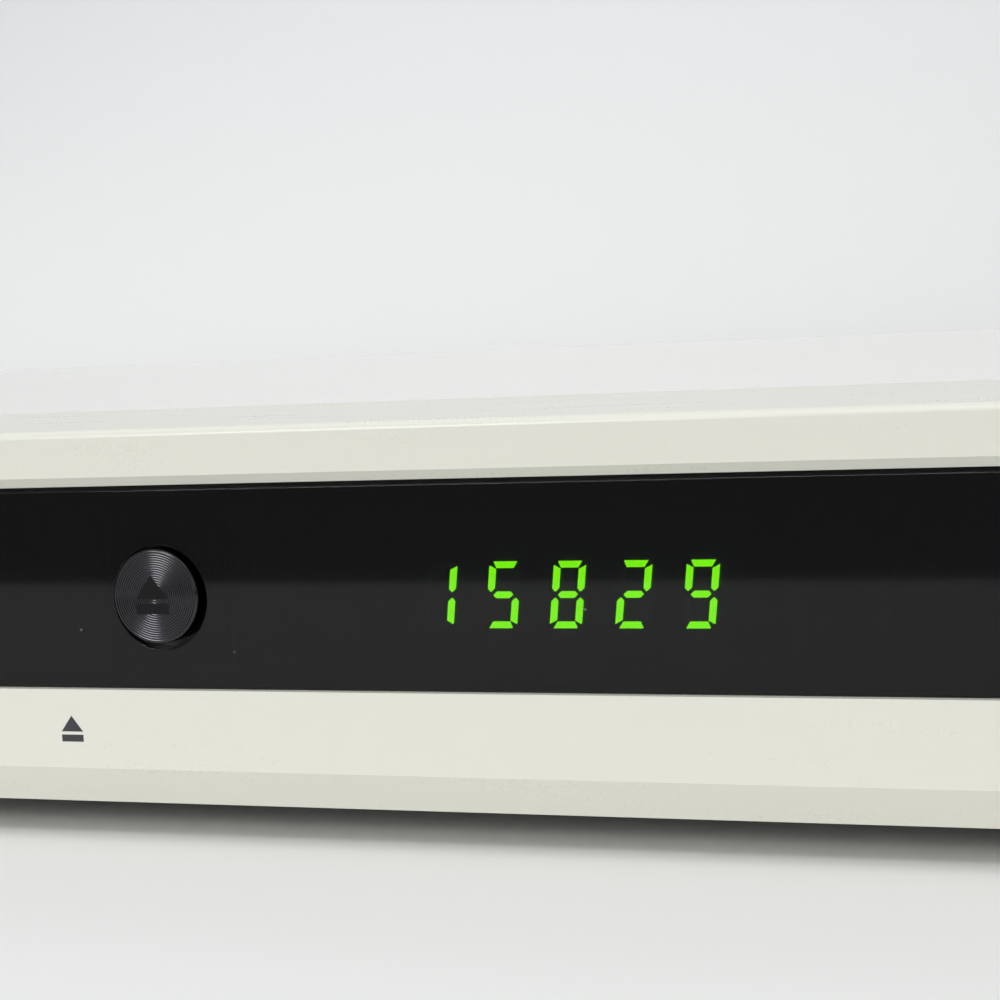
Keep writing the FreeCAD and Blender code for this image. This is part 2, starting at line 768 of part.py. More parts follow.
def build_screws():
    up = Vector(0, 0, 1)
    sides = [(x, y, "foot_height + side_screw_base", Vector(side, 0, 0)) for y in SIDE_SCREWS
             for x, side in (("-(cover_half)", -1), ("cover_half", 1))]
    screws("cover_screws", sides, value("cover_head"), value("cover_head_rise"))
    boards = [(x, y, "main_top", up) for x, y in MAIN_STANDS + POWER_STANDS]
    screws("board_screws", boards, value("screw_head"), value("head_rise"))
    drive = [(f"loader_x + {x}", y, "floor_top + loader_stand + ear_thick", up) for x, y in LOADER_STANDS]
    screws("drive_screws", drive, value("screw_head"), value("head_rise"))
    front = [(x, "front_board_y + board_thick", "boss_z", Vector(0, 1, 0)) for x in BOARD_SCREWS]
    screws("front_board_screws", front, value("screw_head"), value("head_rise"))


# Disc drive


def build_tray():
    """The sliding tray: a well for each disc size, a slot for the pickup and a rack below."""
    body = loader_body("disc_tray")
    half = "tray_width / 2"
    rear = "tray_front + tray_length"
    add(body, "plate", "XY_Plane", [box(f"-{half}", half, "tray_front", rear)], "tray_low", "tray_rim")
    steps = [box(f"{half} - tray_edge", f"{half} + 1", "tray_front - 1", f"{rear} + 1"),
             box(f"-{half} - 1", f"-{half} + tray_edge", "tray_front - 1", f"{rear} + 1")]
    cut(body, "steps", "XY_Plane", steps, "tray_low + tray_flange", "tray_rim + 1")
    cut(body, "well", "XY_Plane", [circle("0", "disc_y", "well_radius")], "tray_floor", "tray_rim + 1")
    cut(body, "small_well", "XY_Plane", [circle("0", "disc_y", "small_well_radius")],
        "tray_floor - small_well_depth", "tray_rim + 1")
    cut(body, "hub_hole", "XY_Plane", [circle("0", "disc_y", "slot_radius")], "tray_low - 1", "tray_rim + 1")
    slot = box("-slot_radius", "slot_radius", "disc_y", "disc_y + slot_length")
    cut(body, "slot", "XY_Plane", [slot], "tray_low - 1", "tray_rim + 1")
    start = "gear_y - 2 * pi * tooth_size"
    bar = box("rack_root_x", "rack_root_x + rack_back", start, "gear_y + tray_travel + 2 * pi * tooth_size")
    add(body, "rack_bar", "XY_Plane", [bar], "rack_low", "tray_low")
    slope = "tan(pressure_angle)"
    middle = f"{start} + pi * tooth_size / 2"
    root = f"(rack_tooth / 2 + dedendum * tooth_size * {slope})"
    tip = f"(rack_tooth / 2 - addendum * tooth_size * {slope})"
    tooth = polygon(("rack_root_x", f"{middle} - {root}"), ("rack_root_x", f"{middle} + {root}"),
                    ("rack_tip_x", f"{middle} + {tip}"), ("rack_tip_x", f"{middle} - {tip}"))
    first = add(body, "tooth", "XY_Plane", [tooth], "rack_low", "tray_low")
    repeat(body, first, "Y_Axis", "pi * tooth_size", "floor(tray_travel / (pi * tooth_size)) + 4")


def build_tray_door():
    body = loader_body("tray_door")
    half = "door_width / 2"
    face = box(f"-{half}", half, "door_low", "door_low + door_height")
    add(body, "face", "XZ_Plane", [face], "window_recess", "tray_front")
    dress(body, "Chamfer", lambda e: at(e, "y", "window_recess"), "door_edge", "edges")


def gear_outline(teeth, phase):
    """Teeth that run straight from root to tip inside their involutes."""
    module = value("tooth_size")
    pitch = module * teeth / 2
    base = pitch * math.cos(math.radians(value("pressure_angle")))
    half_tooth = value("rack_tooth") / (2 * pitch)

    def involute(radius):
        angle = math.acos(min(1.0, base / radius))
        return math.tan(angle) - angle

    points = []
    for tooth in range(teeth):
        middle = 2 * math.pi * (tooth + phase) / teeth
        flank = [(radius, half_tooth + involute(pitch) - involute(max(radius, base)))
                 for radius in (pitch - value("dedendum") * module, pitch + value("addendum") * module)]
        corners = [(radius, middle - angle) for radius, angle in flank]
        corners += [(radius, middle + angle) for radius, angle in reversed(flank)]
        points += [Vector(radius * math.cos(angle), radius * math.sin(angle), 0) for radius, angle in corners]
    return Part.Face(Part.makePolygon(points + points[:1]))


def gear_solid(teeth, phase, low, high):
    solid = gear_outline(int(value(teeth)), phase).extrude(Vector(0, 0, high - low))
    solid.translate(Vector(0, 0, low))
    return solid


def drum(radius, low, high):
    return Part.makeCylinder(radius, high - low, Vector(0, 0, low))


def build_loading_gears():
    wheel_low = value("wheel_low")
    wheel_top = value("wheel_low + wheel_thick")
    pinion_top = value("tray_low - 0.4")
    drive = gear_solid("wheel_teeth", 0.5, wheel_low, wheel_top)
    drive = drive.fuse(gear_solid("drive_teeth", 0, wheel_top, pinion_top))
    bore = drum(value("drive_post + running"), 0, pinion_top)
    shaped_piece("drive_gear", drive.cut(bore), "loader_x + drive_x", "gear_y", "0")

    low = value("pulley_low")
    high = value("pulley_low + pulley_thick")
    idler = drum(value("pulley_radius"), low, high).fuse(gear_solid("idler_teeth", 0, high, wheel_top))
    bore = drum(value("idler_post + running"), 0, wheel_top)
    shaped_piece("idler_pulley", idler.cut(bore), "loader_x + idler_x", "gear_y", "0")

    shaft = drum(value("shaft_radius"), value("front_floor - floor_thick + 0.1"), low)
    small = drum(value("motor_pulley_radius"), low, high).fuse(shaft)
    shaped_piece("motor_pulley", small, "loader_x + motor_x", "gear_y", "0")


def belt_loop(grow):
    """Corners of a loop round both pulleys, with straight runs between its tangent points."""
    far = value("idler_x - motor_x")
    small = value(f"motor_pulley_radius + {grow}")
    large = value(f"pulley_radius + {grow}")
    lean = math.pi / 2 + math.asin((large - small) / far)
    corners = []
    for x, radius, start, end, steps in ((0, small, lean, 2 * math.pi - lean, 8),
                                         (far, large, -lean, lean, 24)):
        for step in range(steps + 1):
            angle = start + (end - start) * step / steps
            corners.append(Vector(x + radius * math.cos(angle), radius * math.sin(angle), 0))
    return Part.Face(Part.makePolygon(corners + corners[:1]))


def build_belt():
    belt = belt_loop("belt_gap + belt_side").cut(belt_loop("belt_gap"))
    shaped_piece("loading_belt", belt.extrude(Vector(0, 0, value("belt_side"))), "loader_x + motor_x",
                 "gear_y", "pulley_low + (pulley_thick - belt_side) / 2")


def build_loading_motor():
    body = loader_body("loading_motor", "motor_x", "gear_y")
    floor_low = "front_floor - floor_thick"
    add(body, "can", "XY_Plane", [ring("0", "0", "motor_radius", 24)], f"{floor_low} - motor_height", floor_low)


def build_loader_frame():
    """The drive's moulded frame: rails for the tray, a floor for the gears, ears and bearings."""
    body = loader_body("loader_frame")
    add(body, "block", "XY_Plane", [box("-(frame_outer)", "frame_outer", "frame_front", "frame_rear")],
        "frame_low", "frame_top")
    inside = box("-(frame_half)", "frame_half", "frame_front - 1", "frame_rear - frame_wall")
    cut(body, "inside", "XY_Plane", [inside], "frame_low - 1", "frame_top + 1")
    floor = box("-(frame_half)", "frame_half", "frame_front", "front_floor_rear")
    add(body, "front_floor", "XY_Plane", [floor], "front_floor - floor_thick", "front_floor")
    ledge = box("-(frame_half)", "frame_half", "front_floor_rear", "cam_y + cam_thick + 2")
    add(body, "cam_ledge", "XY_Plane", [ledge], "frame_low", "cam_low - cam_clearance")
    rails = [box("frame_half - rail_reach", "frame_half", "frame_front", "frame_rear - frame_wall"),
             box("-(frame_half)", "-(frame_half - rail_reach)", "frame_front", "frame_rear - frame_wall")]
    add(body, "rails", "XY_Plane", rails, "tray_low - 2.1", "tray_low - 0.3")
    hooks = [box(f"{side}(frame_half - rail_reach)", f"{side}(frame_half)", f"{y}", f"{y} + 7")
             for side in ("", "-") for y in ("frame_front + 2", "disc_y + 6", "frame_rear - 22")]
    add(body, "hooks", "XY_Plane", hooks, "tray_low + tray_flange + 0.3", "tray_low + tray_flange + 2.1")
    add(body, "drive_post", "XY_Plane", [ring("drive_x", "gear_y", "drive_post", 16)],
        "front_floor", "tray_low - 0.6")
    add(body, "idler_post", "XY_Plane", [ring("idler_x", "gear_y", "idler_post", 16)],
        "front_floor", "wheel_low + wheel_thick")
    cut(body, "motor_hole", "XY_Plane", [square("motor_x", "gear_y", "2 * shaft_radius + 2")],
        "front_floor - floor_thick - 1", "front_floor + 1")
    bearings = [box(f"{side}(lift_width / 2 + 1)", f"{side}(frame_half)", "pivot_y - 6", "pivot_y + 6")
                for side in ("", "-")]
    add(body, "bearings", "XY_Plane", bearings, "pivot_z - 6", "rack_low - 0.4")
    cut(body, "pivot_holes", "YZ_Plane", [circle("pivot_y", "pivot_z", "pivot_radius + running")],
        "-(frame_half) - 1", "frame_half + 1")
    low = "floor_top + loader_stand"
    ears = [square(x, y, "ear_reach") for x, y in LOADER_STANDS]
    add(body, "ears", "XY_Plane", ears, low, f"{low} + ear_thick")
    cut(body, "ear_holes", "XY_Plane", [ring(x, y, "screw_hole", 8) for x, y in LOADER_STANDS],
        f"{low} - 1", f"{low} + ear_thick + 1")
    windows = [box("front_floor_rear + 14", "disc_y + 8", "frame_low + 7", "tray_low - 8"),
               box("disc_y + 20", "disc_y + 58", "frame_low + 7", "tray_low - 8")]
    cut(body, "side_windows", "YZ_Plane", windows, "-(frame_outer) - 1", "frame_outer + 1")


def build_clamp():
    """A steel bridge over the disc and the loose clamper that hangs in it."""
    bridge = loader_body("clamp_bridge")
    half = "bridge_depth / 2"
    strip = box("-(frame_outer)", "frame_outer", f"disc_y - {half}", f"disc_y + {half}")
    add(bridge, "strip", "XY_Plane", [strip], "frame_top", "frame_top + sheet")
    edges = [box("-(frame_half)", "frame_half", f"disc_y - {half}", f"disc_y - {half} + sheet"),
             box("-(frame_half)", "frame_half", f"disc_y + {half} - sheet", f"disc_y + {half}")]
    add(bridge, "edges", "XY_Plane", edges, "frame_top + sheet", "frame_top + 4")
    cut(bridge, "hole", "XY_Plane", [circle("0", "disc_y", "clamp_hole_radius")], "frame_top - 1", "frame_top + 3")
    clamper = loader_body("disc_clamper", "0", "disc_y")
    top = "frame_top + sheet + 0.05"
    add(clamper, "puck", "XY_Plane", [ring("0", "0", "clamp_hole_radius - 0.6", 48)], "clamper_low", top)
    add(clamper, "flange", "XY_Plane", [ring("0", "0", "clamp_hole_radius + 2.5", 48)], top, f"{top} + 1.4")
    cut(clamper, "nose_seat", "XY_Plane", [ring("0", "0", "nose_radius + 0.8", 32)],
        "clamper_low - 1", "clamper_low + nose_rise")


# Traverse, built level and lowered about its pivot


def build_lift_frame():
    """A moulded ring on two pivot pins, with a cam pin at its front."""
    body = traverse_body("lift_frame")
    half = "lift_width / 2"
    add(body, "ring", "XY_Plane", [box(f"-{half}", half, "-lift_front", "5")], "-(lift_height - 1)", "1")
    inside = box(f"-({half} - lift_bar)", f"{half} - lift_bar", "-(lift_front - 5)", "-3")
    cut(body, "inside", "XY_Plane", [inside], "-lift_height", "2")
    tabs = [box(f"{x} - damper_radius - 1", f"{x} + damper_radius + 1", f"{y} - damper_radius - 1",
                f"{y} + damper_radius + 1") for x, y in DAMPERS]
    add(body, "tabs", "XY_Plane", tabs, "-(lift_height - 1)", "-(lift_height - 2.5)")
    for side in ("", "-"):
        low, high = sorted((f"{side}(lift_width / 2)", f"{side}(lift_width / 2 + 8)"), key=value)
        add(body, f"pin_{'left' if side else 'right'}", "YZ_Plane", [circle("0", "0", "pivot_radius")], low, high)
    add(body, "cam_pin", "XZ_Plane", [ring("0", "-2", "cam_pin_radius", 12)], "cam_pin_v", "-lift_front")


DAMPERS = [(x, y) for x in ("-damper_x", "damper_x") for y in ("-(lift_front - 11)", "-9")]


def build_traverse_base():
    """The steel plate that floats on four dampers and carries the disc motor and the pickup."""
    body = traverse_body("traverse_base")
    half = "base_width / 2"
    add(body, "plate", "XY_Plane", [box(f"-{half}", half, "-(lift_front - 6)", "-4")], "1.2", "1.2 + base_sheet")
    opening = box("-opening_width / 2", "opening_width / 2 + 6", "-opening_front", "-opening_rear")
    cut(body, "opening", "XY_Plane", [opening], "1", "2 + base_sheet")
    blocks = [box(f"{x} - 3", f"{x} + 3", y, f"{y} + 3") for x in ("rod_x", "-rod_x")
              for y in ("-(opening_front + 3)", "-opening_rear")]
    add(body, "rod_blocks", "XY_Plane", blocks, "1.2 + base_sheet", "rod_z + rod_radius + 1")


def build_dampers():
    dampers = traverse_body("rubber_dampers")
    add(dampers, "bushes", "XY_Plane", [ring(x, y, "damper_radius", 12) for x, y in DAMPERS],
        "-(lift_height - 2.5)", "1.2")


def build_guide_rods():
    body = traverse_body("guide_rods")
    add(body, "rods", "XZ_Plane", [ring(x, "rod_z", "rod_radius", 16) for x in ("rod_x", "-rod_x")],
        "-opening_front", "-opening_rear")


def build_spindle():
    """The disc motor and the turntable that it turns."""
    motor = traverse_body("spindle_motor")
    add(motor, "can", "XY_Plane", [ring("0", "disc_v", "spindle_radius", 32)], "1.2 + base_sheet", "spindle_top")
    cut(motor, "bore", "XY_Plane", [circle("0", "disc_v", "shaft_radius + running")], "4", "spindle_top + 1")
    table = traverse_body("turntable")
    add(table, "plate", "XY_Plane", [ring("0", "disc_v", "turntable_radius", 48)],
        "seat_height - plate_thick", "seat_height")
    add(table, "nose", "XY_Plane", [ring("0", "disc_v", "nose_radius", 32)], "seat_height", "seat_height + nose_rise")
    dress(table, "Chamfer", lambda e: at(e, "z", "seat_height + nose_rise"), "1.2", "cone")
    add(table, "shaft", "XY_Plane", [circle("0", "disc_v", "shaft_radius")], "4.5", "seat_height - plate_thick")


def build_pickup():
    """The optical pickup on its two rods, and the lens that focuses above it."""
    sled = traverse_body("pickup_sled")
    near = "disc_v + sled_start - 10"
    far = "disc_v + sled_start - 10 + sled_length"
    add(sled, "body", "XY_Plane", [box("-22", "22", near, far)], "-3", "7")
    add(sled, "arms", "XY_Plane", [box("-(rod_x + arm_reach)", "-22", near, far), box("22", "rod_x + arm_reach", near, far)],
        "rod_z - 2.6", "rod_z + 2.6")
    add(sled, "nut_arm", "XY_Plane", [box("rod_x + arm_reach", "rod_x + screw_offset + 1", f"{near} + 4", f"{near} + 10")],
        "screw_z + thread_radius + 0.1", "screw_z + 2.6")
    cut(sled, "bores", "XZ_Plane", [circle(x, "rod_z", "rod_radius + 0.08") for x in ("rod_x", "-rod_x")],
        f"{near} - 1", f"{far} + 1")
    cut(sled, "lens_pit", "XY_Plane", [box("-9", "9", f"{near} + 2", f"{near} + 18")], "3", "8")
    lens = traverse_body("pickup_lens")
    centre = "disc_v + sled_start"
    add(lens, "holder", "XY_Plane", [box("-7.5", "7.5", f"{centre} - 6.5", f"{centre} + 6.5")], "4", "9")
    add(lens, "lens", "XY_Plane", [ring("0", centre, "3", 20)], "9", "9.9")


def build_sled_drive():
    """A stepper and its screw, which moves the sled along the rods."""
    screw_x = "rod_x + screw_offset"
    front = "-(opening_rear + sled_motor_length)"
    motor = traverse_body("sled_motor")
    add(motor, "can", "XZ_Plane", [ring(screw_x, "screw_z", "sled_motor_radius", 20)], front, "-opening_rear")
    screw = traverse_body("lead_screw")
    add(screw, "thread", "XZ_Plane", [circle(screw_x, "screw_z", "thread_radius")],
        "-(opening_front - 1)", f"{front} - 0.1")


def build_cam_slider():
    """A slider across the front whose slanted slot lifts the traverse."""
    body = loader_body("cam_slider")
    half = "cam_length / 2"
    plate = box(f"-{half}", half, "cam_low", "cam_low + cam_height")
    add(body, "plate", "XZ_Plane", [plate], "cam_y", "cam_y + cam_thick")
    reach = "(lift_front + cam_thick / 2 + 2)"
    low = f"pivot_z - {reach} * sin(lift_angle) - 2 * cos(lift_angle)"
    rise = f"({reach} * sin(lift_angle))"
    wide = "(cam_pin_radius + cam_clearance)"
    slot = polygon((f"-{wide}", f"{low} - {wide} - 0.5"), (f"{wide}", f"{low} - {wide} - 0.5"),
                   (f"cam_travel + {wide}", f"{low} + {rise} - {wide} - 0.4"),
                   (f"cam_travel + {wide}", f"{low} + {rise} + {wide} + 0.4"),
                   (f"cam_travel - {wide}", f"{low} + {rise} + {wide} + 0.4"),
                   (f"-{wide}", f"{low} + {wide} + 0.5"))
    cut(body, "slot", "XZ_Plane", [slot], "cam_y - 1", "cam_y + cam_thick + 1")


# Boards, supply and jacks


def build_main_board():
    body = new_body("main_board")
    rear = "rear_y - board_setback"
    add(body, "board", "XY_Plane", [box("main_board_left", "main_board_right", "main_board_front", rear)],
        "main_low", "main_top")
    cut(body, "holes", "XY_Plane", [ring(x, y, "screw_hole", 8) for x, y in MAIN_STANDS],
        "main_low - 1", "main_top + 1")
    chips = new_body("board_chips")
    add(chips, "cases", "XY_Plane", [box("64", "84", "122", "142"), box("96", "108", "112", "130"),
                                     box("96", "108", "136", "154"), box("132", "146", "120", "134"),
                                     box("150", "158", "150", "162"), box("40", "50", "160", "172")],
        "main_top", "main_top + chip_thick")
    sink = new_body("heat_sink", "0", "0", "main_top + chip_thick")
    add(sink, "plate", "XY_Plane", [box("58", "90", "116", "148")], "0", "sink_base")
    fin = add(sink, "fin", "XY_Plane", [box("58", "59.2", "116", "148")], "sink_base", "sink_height")
    repeat(sink, fin, "X_Axis", "sink_pitch", "8")


def build_power_board():
    body = new_body("power_board")
    rear = "rear_y - board_setback"
    add(body, "board", "XY_Plane", [box("power_board_left", "power_board_right", "power_board_front", rear)],
        "main_low", "main_top")
    cut(body, "holes", "XY_Plane", [ring(x, y, "screw_hole", 8) for x, y in POWER_STANDS],
        "main_low - 1", "main_top + 1")
    core = new_body("transformer", "(power_board_left + power_board_right) / 2", "power_board_front + 52", "main_top")
    add(core, "core", "XY_Plane", [box("-14", "14", "-12", "12")], "4", "18")
    add(core, "bobbin", "XY_Plane", [box("-9", "9", "-14", "14")], "0", "22")
    caps = new_body("capacitors", "(power_board_left + power_board_right) / 2", "power_board_front", "main_top")
    add(caps, "large", "XY_Plane", [ring("-12", "88", "large_capacitor", 16)], "0", "3 * large_capacitor")
    add(caps, "small", "XY_Plane", [ring(x, y, "small_capacitor", 12) for x, y in (("12", "26"), ("0", "22"), ("-12", "26"))],
        "0", "3 * small_capacitor - 0.5")


def build_inlet():
    """A two-pin mains inlet in a deep oval recess."""
    body = new_body("mains_inlet", "inlet_x", "0", "main_top")
    half = "inlet_width / 2"
    add(body, "case", "XZ_Plane", [box(f"-{half}", half, "0", "inlet_height")], "rear_y - 12", "case_depth")
    add(body, "lip", "XZ_Plane", [box(f"-{half} - 2", f"{half} + 2", "-1.2", "inlet_height + 1.2")],
        "case_depth", "case_depth + inlet_lip")
    recess = [polygon(("-7.2", "4"), ("7.2", "4"), ("8.6", "5.4"), ("8.6", "11.6"), ("7.2", "13"),
                      ("-7.2", "13"), ("-8.6", "11.6"), ("-8.6", "5.4"))]
    cut(body, "recess", "XZ_Plane", recess, "case_depth - 10", "case_depth + 2")
    add(body, "pins", "XZ_Plane", [ring("-4.3", "8.5", "1.2", 12), ring("4.3", "8.5", "1.2", 12)],
        "case_depth - 10", "case_depth - 1")


def build_sockets():
    hdmi = new_body("hdmi_socket", "hdmi_x", "0", "main_top")
    add(hdmi, "shell", "XZ_Plane", [polygon(("-7.5", "2"), ("-5.8", "0"), ("5.8", "0"), ("7.5", "2"),
                                            ("7.5", "6"), ("-7.5", "6"))], "rear_y - 10", "case_depth + 0.6")
    cut(hdmi, "mouth", "XZ_Plane", [polygon(("-7.1", "2.1"), ("-5.6", "0.4"), ("5.6", "0.4"), ("7.1", "2.1"),
                                            ("7.1", "5.6"), ("-7.1", "5.6"))], "rear_y - 8", "case_depth + 1")
    add(hdmi, "tongue", "XZ_Plane", [box("-5.5", "5.5", "2.9", "4.1")], "rear_y - 8", "case_depth - 0.4")
    lan = new_body("lan_socket", "lan_x", "0", "main_top")
    add(lan, "case", "XZ_Plane", [box("-lan_half", "lan_half", "0", "lan_height")], "rear_y - 15", "case_depth + 0.6")
    cut(lan, "mouth", "XZ_Plane", [polygon(("-5.9", "3.6"), ("5.9", "3.6"), ("5.9", "10.2"), ("3.2", "10.2"),
                                           ("3.2", "11.4"), ("-3.2", "11.4"), ("-3.2", "10.2"), ("-5.9", "10.2"))],
        "rear_y - 12", "case_depth + 1")
    optical = new_body("optical_socket", "optical_x", "0", "main_top")
    add(optical, "case", "XZ_Plane", [box("-optical_half", "optical_half", "0", "optical_height")], "rear_y - 12", "case_depth + 1")
    cut(optical, "port", "XZ_Plane", [box("-2.7", "2.7", "2.5", "7.5")], "case_depth - 1.5", "case_depth + 2")


def build_phono_jacks():
    for order, name in enumerate(("video_jack", "audio_left_jack", "audio_right_jack")):
        jack = new_body(name, f"phono_x + {order} * phono_pitch", "0", "jack_z")
        block = box("-phono_pitch / 2", "phono_pitch / 2", "-jack_lift", "jack_lift")
        add(jack, "block", "XZ_Plane", [block], "rear_y - 11", "case_depth")
        add(jack, "sleeve", "XZ_Plane", [circle("0", "0", "phono_radius")], "case_depth", "jack_end")
        cut(jack, "bore", "XZ_Plane", [ring("0", "0", "phono_bore", 12)], "case_depth - 4", "jack_end + 1")


build_front_panel()
build_display_window()
build_tray_door()
build_button("eject_button", "eject_x")
build_button("power_button", "power_x")
build_button_guides()
build_front_board()
build_switches()
build_display()
build_digits()
build_receiver()
build_usb_port()
build_top_cover()
build_chassis_base()
build_rear_panel()
build_feet()
build_screws()
build_tray()
build_loading_gears()
build_belt()
build_loading_motor()
build_loader_frame()
build_clamp()
build_lift_frame()
build_traverse_base()
build_dampers()
build_guide_rods()
build_spindle()
build_pickup()
build_sled_drive()
build_cam_slider()
build_main_board()
build_power_board()
build_inlet()
build_sockets()
build_phono_jacks()

document.recompute()

for item in document.Objects:
    if {"Invalid", "Error"} & set(item.State):
        raise RuntimeError(f"{item.Name} did not recompute: {item.State}")
for piece in PIECES:
    if piece.Shape.isNull() or not piece.Shape.isValid():
        raise RuntimeError(f"{piece.Label} has no valid shape")

os.makedirs("parts", exist_ok=True)
for piece in PIECES:
    piece.Shape.exportStep(f"parts/{piece.Label}.step")
print(len(PIECES), "pieces written")
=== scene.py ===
"""A slim disc player with a motor-driven tray, dressed for its studio picture.

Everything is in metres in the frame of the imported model: +X to the right as the front is
seen, +Y towards the back, +Z up, with the origin on the surface that the player stands on.
"""

import logging
import math
from collections.abc import Callable, Iterable, Sequence
from dataclasses import dataclass, field
from enum import Enum

import bmesh
import bpy
from mathutils import Matrix, Vector


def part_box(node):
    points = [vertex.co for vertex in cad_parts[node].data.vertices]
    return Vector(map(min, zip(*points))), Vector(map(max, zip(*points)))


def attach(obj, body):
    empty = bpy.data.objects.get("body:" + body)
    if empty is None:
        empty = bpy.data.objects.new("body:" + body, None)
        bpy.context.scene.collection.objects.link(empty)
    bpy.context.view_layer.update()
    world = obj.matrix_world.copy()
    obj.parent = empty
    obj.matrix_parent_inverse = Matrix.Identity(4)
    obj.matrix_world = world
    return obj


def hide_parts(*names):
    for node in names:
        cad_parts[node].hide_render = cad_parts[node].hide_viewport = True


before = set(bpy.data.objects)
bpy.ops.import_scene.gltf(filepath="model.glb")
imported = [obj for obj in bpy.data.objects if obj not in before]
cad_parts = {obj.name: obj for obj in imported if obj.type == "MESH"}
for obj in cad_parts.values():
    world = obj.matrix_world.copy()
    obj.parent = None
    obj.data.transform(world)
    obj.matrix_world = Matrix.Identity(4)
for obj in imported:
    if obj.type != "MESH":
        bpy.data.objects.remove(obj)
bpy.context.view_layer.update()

LOG = logging.getLogger("disc_player")
MM = 0.001
Colour = tuple[float, float, float]
Outline = list[tuple[float, float]]
Settings = dict[str, object] | None
Inputs = dict[str | int, object] | None
UP = Vector((0, 0, 1)).freeze()
BACK = Vector((0, 1, 0)).freeze()
# Corners closer than WELD become one; levels closer than SAME count as one.
WELD = 0.002 * MM
SAME = 0.01 * MM


class Body(Enum):
    """The rigid bodies that pieces ride on."""

    HOUSING = "housing"
    TRAY = "tray"
    EJECT = "eject_button"
    POWER = "power_button"
    SPINDLE = "spindle"
    TRAVERSE = "traverse"
    CLAMPER = "clamper"
    LEAD_SCREW = "lead_screw"
    SLED = "sled"
    LENS = "lens"
    CAM = "cam_slider"
    DRIVE_GEAR = "drive_gear"
    IDLER = "idler_pulley"
    MOTOR_PULLEY = "motor_pulley"


def tone(red: int, green: int, blue: int) -> Colour:
    """A display colour of 0 to 255 a channel, as linear light."""

    def linear(channel: int) -> float:
        """One channel as linear light."""
        share = channel / 255
        return share / 12.92 if share <= 0.04045 else ((share + 0.055) / 1.055) ** 2.4

    return linear(red), linear(green), linear(blue)


def scaled(colour: Colour, share: float) -> Colour:
    """A colour made darker or lighter, at most white."""
    return tuple(min(1.0, channel * share) for channel in colour)


# Node trees


class Signal:
    """A shader socket that takes part in Python expressions."""

    def __init__(self, shader: "Shader", socket: bpy.types.NodeSocket) -> None:
        """Keeps the socket and the tree that it belongs to."""
        self.shader = shader
        self.socket = socket

    def maths(self, operation: str, first: "Signal | float", second: "Signal | float") -> "Signal":
        """Adds one Math node.

        Args:
            operation: The Math node's operation.
            first: The first value.
            second: The second value.

        Returns:
            The node's result.
        """
        return self.shader.node("ShaderNodeMath", {"operation": operation}, {0: first, 1: second})

    def __add__(self, other: "Signal | float") -> "Signal":
        """Sum."""
        return self.maths("ADD", self, other)

    __radd__ = __add__

    def __sub__(self, other: "Signal | float") -> "Signal":
        """Difference."""
        return self.maths("SUBTRACT", self, other)

    def __rsub__(self, other: "Signal | float") -> "Signal":
        """Difference from a number."""
        return self.maths("SUBTRACT", other, self)

    def __mul__(self, other: "Signal | float") -> "Signal":
        """Product."""
        return self.maths("MULTIPLY", self, other)

    __rmul__ = __mul__

    def above(self, level: float) -> "Signal":
        """1 where the signal is above the level."""
        return self.maths("GREATER_THAN", self, level)

    def ramp(self, low: float, high: float) -> "Signal":
        """0 below low, 1 above high and a straight run between."""
        return self.shader.node(
            "ShaderNodeMapRange", {"clamp": True}, {"Value": self, "From Min": low, "From Max": high}
        )

    def fraction(self) -> "Signal":
        """What is left of the signal after its whole part."""
        return self.maths("FRACT", self, 0.0)


class Wiring:
    """A node tree of any kind, with one way to add a node to it."""

    def __init__(self, tree: bpy.types.NodeTree) -> None:
        """Keeps the tree."""
        self.tree = tree

    def add(self, kind: str, settings: Settings = None, inputs: Inputs = None) -> bpy.types.Node:
        """Adds any node.

        Args:
            kind: The node's type.
            settings: Properties, set before anything is linked; "stops" fills a colour ramp.
            inputs: Values, sockets or signals by socket name or index.

        Returns:
            The node.
        """
        made = self.tree.nodes.new(kind)
        for key, setting in (settings or {}).items():
            if key == "stops":
                self.fill_ramp(made.color_ramp, setting)
            else:
                setattr(made, key, setting)
        for key, given in (inputs or {}).items():
            self.feed(made.inputs[key], given)
        return made

    @staticmethod
    def fill_ramp(ramp: bpy.types.ColorRamp, stops: Sequence[tuple[float, Colour]]) -> None:
        """Puts stops of place and colour on a colour ramp."""
        while len(ramp.elements) < len(stops):
            ramp.elements.new(0.5)
        for element, (place, colour) in zip(ramp.elements, stops):
            element.position = place
            element.color = (*colour, 1.0)

    def feed(self, socket: bpy.types.NodeSocket, given: object) -> None:
        """Links a signal or another socket to a socket, or sets a value on it."""
        source = given.socket if isinstance(given, Signal) else given
        if isinstance(source, bpy.types.NodeSocket):
            self.tree.links.new(source, socket)
        elif isinstance(given, tuple) and len(given) == 3 and socket.type == "RGBA":
            socket.default_value = (*given, 1.0)
        else:
            socket.default_value = given


